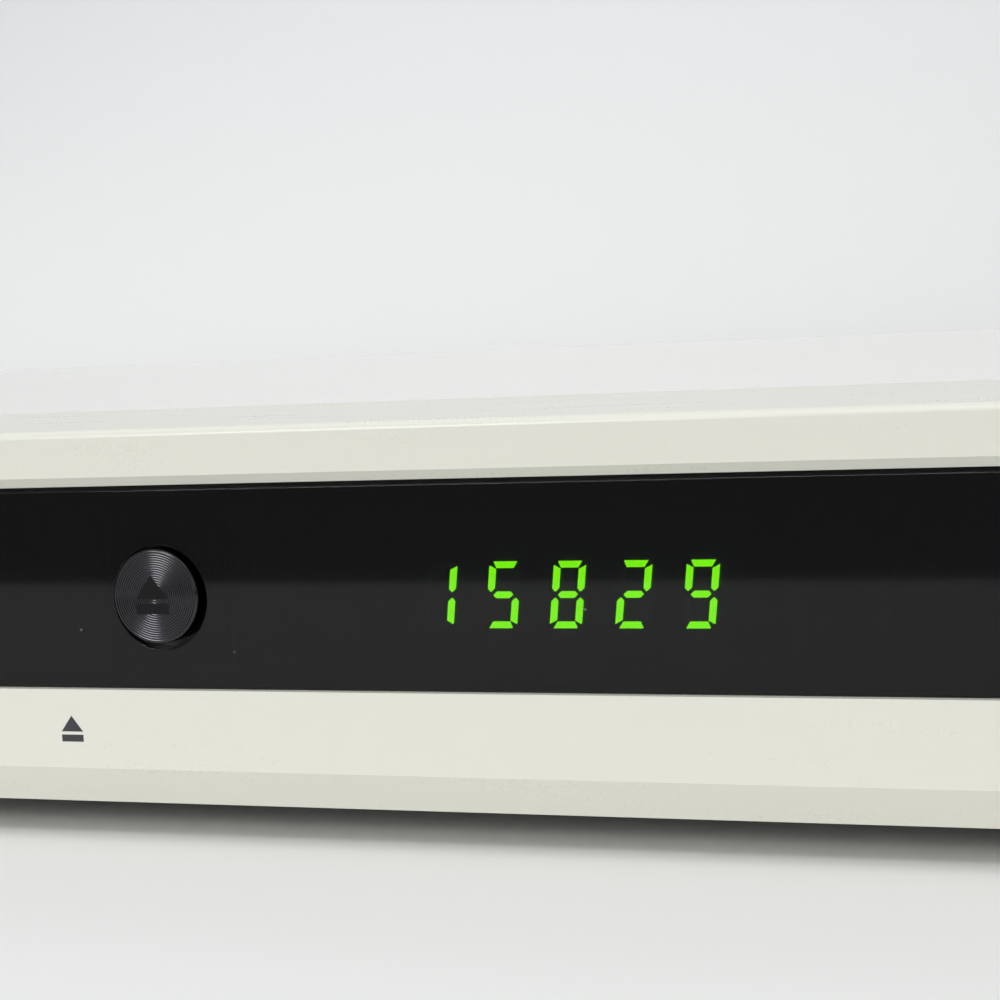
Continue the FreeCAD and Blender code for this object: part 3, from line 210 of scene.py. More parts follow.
class Shader(Wiring):
    """A material with one Principled shader and short ways to add nodes to it."""

    def __init__(self, name: str) -> None:
        """Starts an empty material of that name."""
        self.material = bpy.data.materials.new(name)
        self.material.use_nodes = True
        super().__init__(self.material.node_tree)
        self.tree.nodes.clear()
        self.surface = self.add("ShaderNodeBsdfPrincipled")
        self.add("ShaderNodeOutputMaterial", None, {0: self.surface.outputs[0]})
        self.coordinates = self.add("ShaderNodeTexCoord")

    def node(
        self, kind: str, settings: Settings = None, inputs: Inputs = None, output: str | int = 0
    ) -> Signal:
        """Adds any node and gives one of its outputs as a signal."""
        return Signal(self, self.add(kind, settings, inputs).outputs[output])

    def set(self, **values: object) -> "Shader":
        """Feeds the Principled shader's sockets, named with underscores for spaces."""
        for name, given in values.items():
            self.feed(self.surface.inputs[name.replace("_", " ")], given)
        return self

    @property
    def place(self) -> Signal:
        """Object coordinates, in metres."""
        return Signal(self, self.coordinates.outputs["Object"])

    def axis(self, name: str) -> Signal:
        """One of the x, y or z parts of Object coordinates."""
        return self.node("ShaderNodeSeparateXYZ", None, {0: self.place}, name.upper())

    def stretched(self, scale: Colour) -> Signal:
        """Object coordinates with a scale for each axis."""
        return self.node("ShaderNodeVectorMath", {"operation": "MULTIPLY"}, {0: self.place, 1: scale})

    def noise(self, scale: float, detail: float = 3.0, place: Signal | None = None) -> Signal:
        """Cloudy values from 0 to 1; scale is per metre of the coordinates given."""
        return self.node(
            "ShaderNodeTexNoise",
            None,
            {"Vector": place or self.place, "Scale": scale, "Detail": detail, "Roughness": 0.55},
        )

    def blend(self, share: Signal | float, low: object, high: object) -> Signal:
        """Mixes two colours."""
        return self.node(
            "ShaderNodeMix", {"data_type": "RGBA"}, {"Factor": share, 6: low, 7: high}, 2
        )

    def bump(self, height: Signal, depth: float) -> Signal:
        """A normal from a height signal; depth is the height of 1, in metres."""
        return self.node("ShaderNodeBump", None, {"Height": height, "Distance": depth})


# Finishes


@dataclass(frozen=True)
class Finish:
    """A named surface; its material is made once and then shared."""

    name: str
    colour: Colour

    def shade(self, shader: Shader) -> None:
        """Fills in the shader; each finish has its own way."""
        shader.set(Base_Color=self.colour)

    def material(self) -> bpy.types.Material:
        """The finish's material, made at its first use."""
        name = f"{self.name}_finish"
        made = bpy.data.materials.get(name)
        if made is None:
            shader = Shader(name)
            self.shade(shader)
            made = shader.material
        return made


@dataclass(frozen=True)
class MouldedFinish(Finish):
    """Injection-moulded plastic with a fine grain, slight mottling and handling marks."""

    roughness: float = 0.42
    grain_size: float = 0.35 * MM
    grain_depth: float = 0.006 * MM
    mottle: float = 0.05

    def shade(self, shader: Shader) -> None:
        """Fills in the shader."""
        grain = shader.noise(1 / self.grain_size, 2.0)
        cloud = shader.noise(18.0, 4.0)
        wipe = shader.noise(1.0, 3.0, shader.stretched((30.0, 220.0, 220.0)))
        dark = scaled(self.colour, 1 - self.mottle)
        light = scaled(self.colour, 1 + self.mottle)
        shader.set(
            Base_Color=shader.blend(cloud, dark, light),
            Roughness=self.roughness + (wipe - 0.5) * 0.12 + (grain - 0.5) * 0.1,
            Normal=shader.bump(grain, self.grain_depth),
            IOR=1.48,
        )


@dataclass(frozen=True)
class GlossFinish(Finish):
    """Polished plastic: a clear skin with faint orange peel and hair-fine rubbing marks."""

    roughness: float = 0.08
    peel: float = 0.002 * MM
    alpha: float = 1.0
    specular: float = 0.5
    rub: float = 0.03

    def shade(self, shader: Shader) -> None:
        """Fills in the shader."""
        wave = shader.noise(90.0, 2.0)
        rub = shader.noise(1.0, 2.0, shader.stretched((60.0, 60.0, 2400.0)))
        speck = shader.node("ShaderNodeTexVoronoi", None, {"Vector": shader.place, "Scale": 260.0})
        pick = shader.noise(70.0, 1.0).above(0.66)
        dust = (1 - speck.ramp(0.03, 0.07)) * pick
        shader.set(
            Base_Color=shader.blend(dust, self.colour, tone(96, 96, 98)),
            Roughness=self.roughness + rub * self.rub + dust * 0.3,
            Normal=shader.bump(wave, self.peel),
            Alpha=self.alpha,
            Specular_IOR_Level=self.specular,
        )


@dataclass(frozen=True)
class MetalFinish(Finish):
    """Sheet or drawn metal with a rolling direction, stains and soft scratches."""

    roughness: float = 0.32
    grain: Colour = (40.0, 2600.0, 2600.0)
    depth: float = 0.002 * MM

    def shade(self, shader: Shader) -> None:
        """Fills in the shader."""
        rolled = shader.noise(1.0, 3.0, shader.stretched(self.grain))
        stain = shader.noise(32.0, 5.0)
        shader.set(
            Base_Color=shader.blend(stain, scaled(self.colour, 0.82), self.colour),
            Roughness=self.roughness + (rolled - 0.5) * 0.2 + (stain - 0.5) * 0.15,
            Metallic=1.0,
            Normal=shader.bump(rolled, self.depth),
        )


@dataclass(frozen=True)
class PaintFinish(Finish):
    """Powder coat with an even orange-peel texture and a slow change of shade."""

    roughness: float = 0.45
    texture_size: float = 0.8 * MM
    texture_depth: float = 0.02 * MM

    def shade(self, shader: Shader) -> None:
        """Fills in the shader."""
        peel = shader.noise(1 / self.texture_size, 2.0)
        cloud = shader.noise(9.0, 3.0)
        shader.set(
            Base_Color=shader.blend(cloud, scaled(self.colour, 0.94), self.colour),
            Roughness=self.roughness + (peel - 0.5) * 0.05,
            Normal=shader.bump(peel, self.texture_depth),
        )


@dataclass(frozen=True)
class BoardFinish(Finish):
    """Varnished circuit board with straight tracks under the lacquer."""

    track: Colour = tone(40, 98, 58)
    tracks_per_metre: float = 700.0

    def shade(self, shader: Shader) -> None:
        """Fills in the shader."""
        across = shader.axis("x") * self.tracks_per_metre
        along = (shader.axis("y") + shader.axis("z")) * self.tracks_per_metre
        rows = along.fraction().above(0.6)
        columns = across.fraction().above(0.6)
        turned = shader.noise(55.0, 0.0).above(0.5)
        laid = shader.noise(80.0, 0.0).above(0.46)
        lines = (rows * turned + columns * (1 - turned)) * laid
        shader.set(
            Base_Color=shader.blend(lines, self.colour, self.track),
            Roughness=0.28 + shader.noise(60.0) * 0.15,
            Normal=shader.bump(lines, 0.03 * MM),
            Coat_Weight=0.4,
            Coat_Roughness=0.1,
        )


@dataclass(frozen=True)
class LitFinish(Finish):
    """A display segment: a flat phosphor patch that glows, a little uneven; at low strength the glow is
    painted light for a segment that is off and only catches room light.
    """

    strength: float = 1.0

    def shade(self, shader: Shader) -> None:
        """Fills in the shader."""
        patch = shader.noise(900.0, 2.0)
        shader.set(
            Base_Color=tone(6, 10, 6),
            Roughness=0.6,
            Emission_Color=shader.blend(patch, scaled(self.colour, 0.88), self.colour),
            Emission_Strength=self.strength,
        )


@dataclass(frozen=True)
class CapacitorFinish(Finish):
    """A printed sleeve below a scored metal top."""

    top: float = 0.0
    metal: Colour = tone(196, 198, 202)

    def shade(self, shader: Shader) -> None:
        """Fills in the shader."""
        lid = shader.axis("z").above(self.top)
        sleeve = shader.blend(shader.noise(40.0), self.colour, scaled(self.colour, 0.8))
        shader.set(
            Base_Color=shader.blend(lid, sleeve, self.metal),
            Metallic=lid,
            Roughness=0.38 + shader.noise(400.0) * 0.12,
        )


BLACK_PLASTIC = MouldedFinish("black_plastic", tone(34, 34, 35), 0.45)
FRAME_PLASTIC = MouldedFinish("frame_plastic", tone(44, 44, 47), 0.5, 0.6 * MM, 0.01 * MM)
TRAY_PLASTIC = MouldedFinish("tray_plastic", tone(38, 38, 40), 0.4, 0.5 * MM, 0.012 * MM)
GEAR_PLASTIC = MouldedFinish("gear_plastic", tone(226, 222, 208), 0.35, 0.4 * MM, 0.003 * MM)
FOOT_PLASTIC = MouldedFinish("foot_plastic", tone(52, 52, 54), 0.5)
FOOT_RUBBER = MouldedFinish("foot_rubber", tone(24, 24, 25), 0.8, 0.5 * MM, 0.02 * MM)
BELT_RUBBER = MouldedFinish("belt_rubber", tone(20, 20, 20), 0.7, 0.3 * MM, 0.01 * MM)
DAMPER_RUBBER = MouldedFinish("damper_rubber", tone(60, 58, 66), 0.75)
TURNTABLE_GREY = MouldedFinish("turntable_grey", tone(96, 98, 102), 0.5)
LENS_CARRIER = MouldedFinish("lens_carrier", tone(28, 28, 30), 0.4)
TAPE = MouldedFinish("transformer_tape", tone(216, 178, 44), 0.35, 1.2 * MM, 0.02 * MM)
ZINC = MetalFinish("zinc_steel", tone(186, 188, 192), 0.34)
SCREW_STEEL = MetalFinish("screw_steel", tone(150, 150, 156), 0.3, (900.0, 900.0, 900.0))
DARK_SCREW = MetalFinish("dark_screw", tone(64, 64, 68), 0.35, (900.0, 900.0, 900.0))
ROD_STEEL = MetalFinish("rod_steel", tone(206, 208, 212), 0.14, (2600.0, 60.0, 2600.0))
MOTOR_STEEL = MetalFinish("motor_steel", tone(190, 190, 192), 0.28, (2600.0, 2600.0, 60.0))
SINK_METAL = MetalFinish("sink_metal", tone(70, 72, 76), 0.42, (200.0, 60.0, 1800.0))
SLED_METAL = MetalFinish("sled_metal", tone(130, 132, 136), 0.45, (500.0, 500.0, 500.0), 0.02 * MM)
BRASS = MetalFinish("pulley_brass", tone(206, 170, 92), 0.25, (1200.0, 1200.0, 1200.0))
GOLD = MetalFinish("contact_gold", tone(226, 184, 96), 0.22, (900.0, 900.0, 900.0))
NICKEL = MetalFinish("sleeve_nickel", tone(204, 202, 196), 0.2, (900.0, 900.0, 900.0))
CREAM_PAINT = PaintFinish("cover_paint", tone(236, 236, 230), 0.2, 0.9 * MM, 0.0012 * MM)
BOARD = BoardFinish("circuit_board", tone(22, 74, 44))
CHIP = MouldedFinish("chip_case", tone(26, 26, 28), 0.55)


# Mesh work


def welded(node: str) -> bmesh.types.BMesh:
    """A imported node's mesh with its doubled corners made one, to work on."""
    work = bmesh.new()
    work.from_mesh(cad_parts[node].data)
    bmesh.ops.remove_doubles(work, verts=work.verts, dist=WELD)
    return work


def mesh_of(work: bmesh.types.BMesh, name: str) -> bpy.types.Mesh:
    """Turns finished work into a mesh."""
    mesh = bpy.data.meshes.new(name)
    work.to_mesh(mesh)
    work.free()
    return mesh


def merged_copy(node: str) -> bpy.types.Mesh:
    """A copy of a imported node's mesh, with its flat faces made whole again."""
    work = welded(node)
    bmesh.ops.dissolve_limit(
        work, angle_limit=math.radians(0.4), verts=work.verts, edges=work.edges, delimit={"NORMAL"}
    )
    return mesh_of(work, node)


def add_object(name: str, mesh: bpy.types.Mesh) -> bpy.types.Object:
    """Puts a mesh in the scene under a name."""
    made = bpy.data.objects.new(name, mesh)
    bpy.context.scene.collection.objects.link(made)
    return made


def baked(piece: bpy.types.Object) -> bpy.types.Object:
    """Turns a piece's modifiers into plain mesh."""
    graph = bpy.context.evaluated_depsgraph_get()
    mesh = bpy.data.meshes.new_from_object(piece.evaluated_get(graph))
    piece.modifiers.clear()
    piece.data = mesh
    return piece


def smoothed(piece: bpy.types.Object, angle: float = 180.0) -> bpy.types.Object:
    """Shades a piece smooth, apart from edges that turn by more than the angle in degrees."""
    piece.data.polygons.foreach_set("use_smooth", [True] * len(piece.data.polygons))
    piece.data.set_sharp_from_angle(angle=math.radians(angle))
    return piece


def eased(
    piece: bpy.types.Object, width: float, segments: int = 3, angle: float = 30.0
) -> bpy.types.Object:
    """Rounds a piece's edges and smooths what is left curved.

    Args:
        piece: The object to finish.
        width: The width of the rounding in metres; 0 leaves the edges sharp.
        segments: Facets across each rounding.
        angle: Edges that turn by less, in degrees, count as part of a curve.

    Returns:
        The same object, with plain mesh.
    """
    if width > 0:
        bevel = piece.modifiers.new("edge", "BEVEL")
        bevel.width = width
        bevel.segments = segments
        bevel.limit_method = "ANGLE"
        bevel.angle_limit = math.radians(angle)
    baked(piece)
    smoothed(piece, angle)
    weights = piece.modifiers.new("normals", "WEIGHTED_NORMAL")
    weights.keep_sharp = True
    return baked(piece)


def finished(
    piece: bpy.types.Object,
    body: Body,
    material: bpy.types.Material,
    replaces: Sequence[str] = (),
) -> bpy.types.Object:
    """Gives a piece its material, body, slot and the nodes that it stands for.

    Args:
        piece: The object, in place.
        body: The body that it rides on.
        material: The finish.
        replaces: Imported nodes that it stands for.

    Returns:
        The same object.
    """
    piece.data.materials.clear()
    piece.data.materials.append(material)
    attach(piece, body.value)
    if replaces:
        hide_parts(*replaces)
    LOG.info("%s: %d faces", piece.name, len(piece.data.polygons))
    return piece


def lathe(
    name: str, profile: Outline, origin: Vector, axis: Vector, sides: int = 96
) -> bpy.types.Object:
    """Turns a profile of (radius, height) points about an axis.

    Args:
        name: The new object's name.
        profile: Points from the axis outwards; ends on the axis are closed.
        origin: The point where height is 0.
        axis: The direction in which height grows.
        sides: Facets round the axis.

    Returns:
        The new object.
    """
    turn = axis.normalized().to_track_quat("Z", "Y").to_matrix()
    work = bmesh.new()
    rings = []
    for radius, height in profile:
        count = 1 if radius < 1e-9 else sides
        ring = []
        for step in range(count):
            angle = 2 * math.pi * step / sides
            local = Vector((radius * math.cos(angle), radius * math.sin(angle), height))
            ring.append(work.verts.new(origin + turn @ local))
        rings.append(ring)
    for low, high in zip(rings, rings[1:]):
        for step in range(sides):
            after = (step + 1) % sides
            corners = [low[step % len(low)], low[after % len(low)]]
            corners += [high[after % len(high)], high[step % len(high)]]
            unique = list(dict.fromkeys(corners))
            if len(unique) > 2:
                work.faces.new(unique)
    bmesh.ops.recalc_face_normals(work, faces=work.faces)
    return add_object(name, mesh_of(work, name))


def plate(name: str, outlines: Sequence[Outline], near: float, far: float) -> bpy.types.Object:
    """A plate that faces the front, cut from outlines in X and Z.

    Args:
        name: The new object's name.
        outlines: The outlines, none of which overlap.
        near: The y of its front face.
        far: The y of its back face.

    Returns:
        The new object.
    """
    curve = bpy.data.curves.new(name, "CURVE")
    curve.dimensions = "2D"
    curve.fill_mode = "BOTH"
    curve.extrude = (far - near) / 2
    for outline in outlines:
        spline = curve.splines.new("POLY")
        spline.points.add(len(outline) - 1)
        for point, (x, z) in zip(spline.points, outline):
            point.co = (x, z, 0.0, 1.0)
        spline.use_cyclic_u = True
    shape = bpy.data.objects.new(name, curve)
    bpy.context.scene.collection.objects.link(shape)
    graph = bpy.context.evaluated_depsgraph_get()
    mesh = bpy.data.meshes.new_from_object(shape.evaluated_get(graph))
    bpy.data.objects.remove(shape)
    upright = Matrix(((1, 0, 0, 0), (0, 0, -1, (near + far) / 2), (0, 1, 0, 0), (0, 0, 0, 1)))
    mesh.transform(upright)
    work = bmesh.new()
    work.from_mesh(mesh)
    bmesh.ops.remove_doubles(work, verts=work.verts, dist=WELD / 2)
    bmesh.ops.recalc_face_normals(work, faces=work.faces)
    work.to_mesh(mesh)
    work.free()
    return add_object(name, mesh)


def rectangle(low: tuple[float, float], high: tuple[float, float]) -> Outline:
    """Four corners of an upright rectangle."""
    return [(low[0], low[1]), (high[0], low[1]), (high[0], high[1]), (low[0], high[1])]


def quarter(steps: int) -> list[float]:
    """Angles from 0 to a right angle, in even steps."""
    return [math.pi / 2 * step / steps for step in range(steps + 1)]


def spread(middle: float, pitch: float, count: int) -> list[float]:
    """Evenly spaced places on both sides of a middle."""
    return [middle + (index - (count - 1) / 2) * pitch for index in range(count)]


def centred(low: Vector, high: Vector, **levels: float) -> Vector:
    """The middle of a box, with its x, y or z set to a level where one is given."""
    middle = (low + high) / 2
    for axis, level in levels.items():
        setattr(middle, axis, level)
    return middle


def tray_sign(
    names: tuple[str, str],
    centre: tuple[float, float],
    size: tuple[float, float],
    depths: tuple[float, float],
) -> list[bpy.types.Object]:
    """A triangle over a bar, the usual sign for opening a tray.

    Args:
        names: The names of the triangle and of the bar.
        centre: The sign's middle in X and Z.
        size: Its width and height.
        depths: The y of its front and of its back.

    Returns:
        Both pieces.
    """
    x, z = centre
    width, height = size
    low = z - height / 2
    bar = low + 0.27 * height
    base = bar + 0.12 * height
    triangle = [(x - width / 2, base), (x + width / 2, base), (x, z + height / 2)]
    outlines = (triangle, rectangle((x - width / 2, low), (x + width / 2, bar)))
    return [plate(name, [outline], *depths) for name, outline in zip(names, outlines)]


# Front


@dataclass
class FrontPanel:
    """The cream front moulding and the small mark printed on it.

    Attributes:
        soft_edge: The widest rounding of the face's long edges.
        softness: Each long edge's share of it, from the lowest edge up.
        long_edge: The shortest edge that is rounded so.
    """

    finish: MouldedFinish = MouldedFinish(
        "cream_moulding", tone(226, 225, 214), 0.3, 0.5 * MM, 0.0015 * MM, 0.008
    )
    ink: MouldedFinish = MouldedFinish("panel_ink", tone(52, 52, 58), 0.5, 0.2 * MM, 0.002 * MM, 0.03)
    mark_centre: tuple[float, float] = (17.3 * MM, 15.3 * MM)
    mark_size: tuple[float, float] = (3.3 * MM, 3.5 * MM)
    ink_depth: float = 0.02 * MM
    soft_edge: float = 1.3 * MM
    softness: tuple[float, ...] = (0.8, 0.0, 1.0, 1.0)
    long_edge: float = 100 * MM

    def build(self) -> None:
        """Dresses the panel and prints the mark beside the bare places."""
        panel = add_object("front_moulding", merged_copy("front_panel"))
        self.soften(panel)
        eased(panel, 0.4 * MM, 4, 25.0)
        finished(panel, Body.HOUSING, self.finish.material(), ["front_panel"])
        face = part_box("front_panel")[0].y
        depths = (face - self.ink_depth, face + self.ink_depth)
        for piece in tray_sign(("mark_triangle", "mark_bar"), self.mark_centre, self.mark_size, depths):
            finished(piece, Body.HOUSING, self.ink.material())

    def soften(self, panel: bpy.types.Object) -> None:
        """Rounds the long edges of the front face, each by its share of the widest."""
        mesh = panel.data
        face = min(vertex.co.y for vertex in mesh.vertices) + SAME
        levels: dict[float, list[int]] = {}
        for edge in mesh.edges:
            first, last = (mesh.vertices[index].co for index in edge.vertices)
            level = abs(first.z - last.z) < SAME
            if level and max(first.y, last.y) < face and abs(first.x - last.x) > self.long_edge:
                levels.setdefault(round(first.z, 5), []).append(edge.index)
        weights = mesh.attributes.new("bevel_weight_edge", "FLOAT", "EDGE")
        for level, share in zip(sorted(levels), self.softness):
            for index in levels[level]:
                weights.data[index].value = share
        bevel = panel.modifiers.new("soft", "BEVEL")
        bevel.width = self.soft_edge
        bevel.segments = 6
        bevel.limit_method = "WEIGHT"
        baked(panel)


@dataclass
class DisplayStrip:
    """The smoked strip, with the tray's door, both buttons and the socket let into it."""

    finish: GlossFinish = GlossFinish("smoked_strip", tone(23, 23, 24), 0.03, 0.0004 * MM, 0.9, 0.21)
    edge: float = 0.12 * MM

    def build(self) -> None:
        """Rounds the strip's edges and polishes it."""
        strip = add_object("smoked_window", merged_copy("display_window"))
        eased(strip, self.edge, 2, 32.0)
        finished(strip, Body.HOUSING, self.finish.material(), ["display_window"])


@dataclass
class Readout:
    """Five digits of seven strokes, some lit and the rest with a faint painted glow for the room light
    on them, in front of a black mask.
    """

    text: str = "15829"
    lit: LitFinish = LitFinish("lit_segment", (0.19, 0.9, 0.0), strength=100.0)
    # Painted light: the strokes that are off glow faintly, standing in for room light that falls on them
    # through the smoked strip.
    painted_glow: LitFinish = LitFinish("painted_glow_segment", tone(70, 80, 68), strength=2.5)
    slant: float = math.radians(7.5)
    height: float = 8.4 * MM
    width: float = 4.15 * MM
    stroke: float = 0.8 * MM
    corner: float = 0.55 * MM
    mitre: float = 0.42 * MM
    tip: float = 0.4 * MM
    pitch: float = 8.68 * MM
    strokes_of: dict[str, str] = field(
        default_factory=lambda: {
            "0": "abcdef", "1": "bc", "2": "abged", "3": "abgcd", "4": "fgbc",
            "5": "afgcd", "6": "afgedc", "7": "abc", "8": "abcdefg", "9": "abcdfg",
        }
    )

    def stroke_outline(self, name: str) -> Outline:
        """Corners of one stroke about the digit's middle, mitred where strokes meet.

        Args:
            name: a to g, in the usual order round the digit.

        Returns:
            The corners, upright.
        """
        half = self.width / 2
        tall = self.height / 2
        inner = half - self.stroke
        thick = self.stroke / 2
        if name in "ad":
            flat = [(self.corner - half, tall), (half - self.corner, tall),
                    (half - self.corner - self.mitre, tall - self.stroke),
                    (self.corner + self.mitre - half, tall - self.stroke)]
            return flat if name == "a" else [(x, -z) for x, z in flat]
        if name == "g":
            return [(-inner, 0), (self.tip - inner, thick), (inner - self.tip, thick),
                    (inner, 0), (inner - self.tip, -thick), (self.tip - inner, -thick)]
        upright = [(half, tall - self.corner), (half, 2 * self.tip), (half - thick, self.tip),
                   (inner, 2 * self.tip), (inner, tall - self.corner - self.mitre)]
        across = 1 if name in "bc" else -1
        updown = 1 if name in "bf" else -1
        return [(x * across, z * updown) for x, z in upright]

    def outlines(self, middle: Vector, wanted: bool) -> list[Outline]:
        """Outlines of all strokes that are lit, or of all that aren't."""
        lean = math.tan(self.slant)
        found = []
        for start, digit in zip(spread(middle.x, self.pitch, len(self.text)), self.text):
            for stroke in "abcdefg":
                if (stroke in self.strokes_of[digit]) is wanted:
                    corners = self.stroke_outline(stroke)
                    found.append([(start + x + z * lean, middle.z + z) for x, z in corners])
        return found

    def build(self) -> None:
        """Makes the lit strokes and the dim strokes with their painted glow as two pieces, and the mask
        behind.
        """
        low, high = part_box("digit_segments")
        middle = (low + high) / 2
        lit = plate("lit_segments", self.outlines(middle, True), low.y, high.y)
        finished(lit, Body.HOUSING, self.lit.material(), ["digit_segments"])
        # Painted glow on the strokes that are off, in place of the room light that they would catch.
        painted_glow = plate("unlit_segments", self.outlines(middle, False), low.y, high.y)
        finished(painted_glow, Body.HOUSING, self.painted_glow.material())
        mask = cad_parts["display_module"].data
        mask.materials.clear()
        mask.materials.append(MouldedFinish("display_mask", tone(12, 12, 12), 0.7).material())


@dataclass
class PressButton:
    """A metal cap turned in fine rings, with a smooth sign sunk into it."""

    node: str
    body: Body
    radius: float = 6.27 * MM
    rings: int = 19
    ring_depth: float = 0.045 * MM
    ring_facets: int = 4
    sink: float = 0.01 * MM
    rim: float = 0.42 * MM
    sides: int = 160
    cap_length: float = 1.0 * MM
    wall: float = 2.5 * MM
    face_thick: float = 0.6 * MM
    stem_share: float = 0.97
    sign_place: tuple[float, float] = (-0.5 * MM, 0.25 * MM)
    sign_size: tuple[float, float] = (4.8 * MM, 5.1 * MM)
    sign_depth: float = 0.15 * MM
    colour: Colour = tone(66, 66, 69)

    def profile(self) -> Outline:
        """The cap from its centre outwards, as (radius, height) with the face at 0."""
        face = self.radius - self.rim
        pitch = face / self.rings
        steps = self.rings * self.ring_facets
        points = [(0.0, -self.sink)]
        for index in range(1, steps + 1):
            reach = face * index / steps
            wave = math.sin(math.pi * reach / pitch) ** 2
            points.append((reach, -self.sink - self.ring_depth * wave))
        for angle in quarter(5)[1:]:
            points.append((face + self.rim * math.sin(angle), -self.rim * (1 - math.cos(angle))))
        return [*points, (self.radius, -self.wall), (0.0, -self.wall)]

    def build(self) -> None:
        """Turns the cap, dresses what is behind it and lays in the sign."""
        low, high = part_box(self.node)
        centre = centred(low, high, y=low.y)
        cap = lathe(f"{self.node}_cap", self.profile(), centre, -BACK, self.sides)
        finished(smoothed(cap, 40.0), self.body, self.metal().material)
        self.stem(centre)
        if self.body is Body.EJECT:
            self.lay_sign(centre)

    def stem(self, centre: Vector) -> None:
        """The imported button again, with its cap drawn back behind the turned face."""
        mesh = merged_copy(self.node)
        for vertex in mesh.vertices:
            if vertex.co.y < centre.y + self.cap_length:
                vertex.co.y += self.face_thick
                vertex.co.x = centre.x + (vertex.co.x - centre.x) * self.stem_share
                vertex.co.z = centre.z + (vertex.co.z - centre.z) * self.stem_share
        stem = add_object(f"{self.node}_stem", mesh)
        black = MouldedFinish(f"{self.node}_black", tone(30, 30, 31)).material()
        finished(stem, self.body, black, [self.node])

    def lay_sign(self, centre: Vector) -> None:
        """The sign for the tray, smooth and dark among the rings, a little off the middle."""
        dark = GlossFinish("button_sign", tone(20, 20, 22), 0.3, specular=0.15).material()
        place = (centre.x + self.sign_place[0], centre.z + self.sign_place[1])
        depths = (centre.y, centre.y + self.sign_depth)
        for piece in tray_sign(("sign_triangle", "sign_bar"), place, self.sign_size, depths):
            finished(piece, self.body, dark)

    def metal(self) -> Shader:
        """Turned metal, a little darker in places and smooth enough to shine in wedges."""
        shader = Shader(f"{self.node}_metal")
        stain = shader.noise(500.0, 3.0)
        return shader.set(
            Base_Color=shader.blend(stain, scaled(self.colour, 0.8), self.colour),
            Metallic=1.0,
            Roughness=0.12 + stain * 0.1,
        )


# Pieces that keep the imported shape


@dataclass(frozen=True)
class Kept:
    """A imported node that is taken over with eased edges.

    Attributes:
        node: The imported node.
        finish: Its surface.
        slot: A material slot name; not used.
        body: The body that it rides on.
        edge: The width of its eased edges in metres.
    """

    node: str
    finish: Finish
    slot: str
    body: Body = Body.HOUSING
    edge: float = 0.12 * MM

    def build(self) -> bpy.types.Object:
        """Makes the piece in place of its node."""
        piece = add_object(f"{self.node}_piece", merged_copy(self.node))
        eased(piece, self.edge, 2)
        return finished(piece, self.body, self.finish.material(), [self.node])


def keep(*pieces: Kept) -> None:
    """Builds kept pieces one after another."""
    for piece in pieces:
        piece.build()


def block(name: str, low: Sequence[float], high: Sequence[float], edge: float = 0.0) -> bpy.types.Object:
    """A box between two corners, with eased edges."""
    work = bmesh.new()
    bmesh.ops.create_cube(work, size=1.0)
    for vertex in work.verts:
        for axis in range(3):
            vertex.co[axis] = low[axis] if vertex.co[axis] < 0 else high[axis]
    return eased(add_object(name, mesh_of(work, name)), edge, 2)


def joined(name: str, pieces: Sequence[bpy.types.Object]) -> bpy.types.Object:
    """One object from several, all in place."""
    work = bmesh.new()
    for piece in pieces:
        work.from_mesh(piece.data)
        bpy.data.objects.remove(piece)
    return add_object(name, mesh_of(work, name))


def bars(
    places: Iterable[float], width: float, low: tuple[float, float], high: tuple[float, float]
) -> list[bpy.types.Object]:
    """A row of equal bars.

    Args:
        places: The middle of each bar in X.
        width: The width of each bar.
        low: Their lowest y and z.
        high: Their highest y and z.

    Returns:
        The bars.
    """
    return [block("bar", (x - width / 2, *low), (x + width / 2, *high)) for x in places]


def islands(node: str) -> list[tuple[Vector, Vector]]:
    """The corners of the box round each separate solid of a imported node, in one fixed order."""
    work = welded(node)
    boxes = []
    waiting = set(work.verts)
    while waiting:
        found = [waiting.pop()]
        for vertex in found:
            for edge in vertex.link_edges:
                other = edge.other_vert(vertex)
                if other in waiting:
                    waiting.remove(other)
                    found.append(other)
        low = Vector([min(vertex.co[axis] for vertex in found) for axis in range(3)])
        high = Vector([max(vertex.co[axis] for vertex in found) for axis in range(3)])
        boxes.append((low, high))
    work.free()
    return sorted(boxes, key=lambda box: tuple(box[0]))


# Repeats


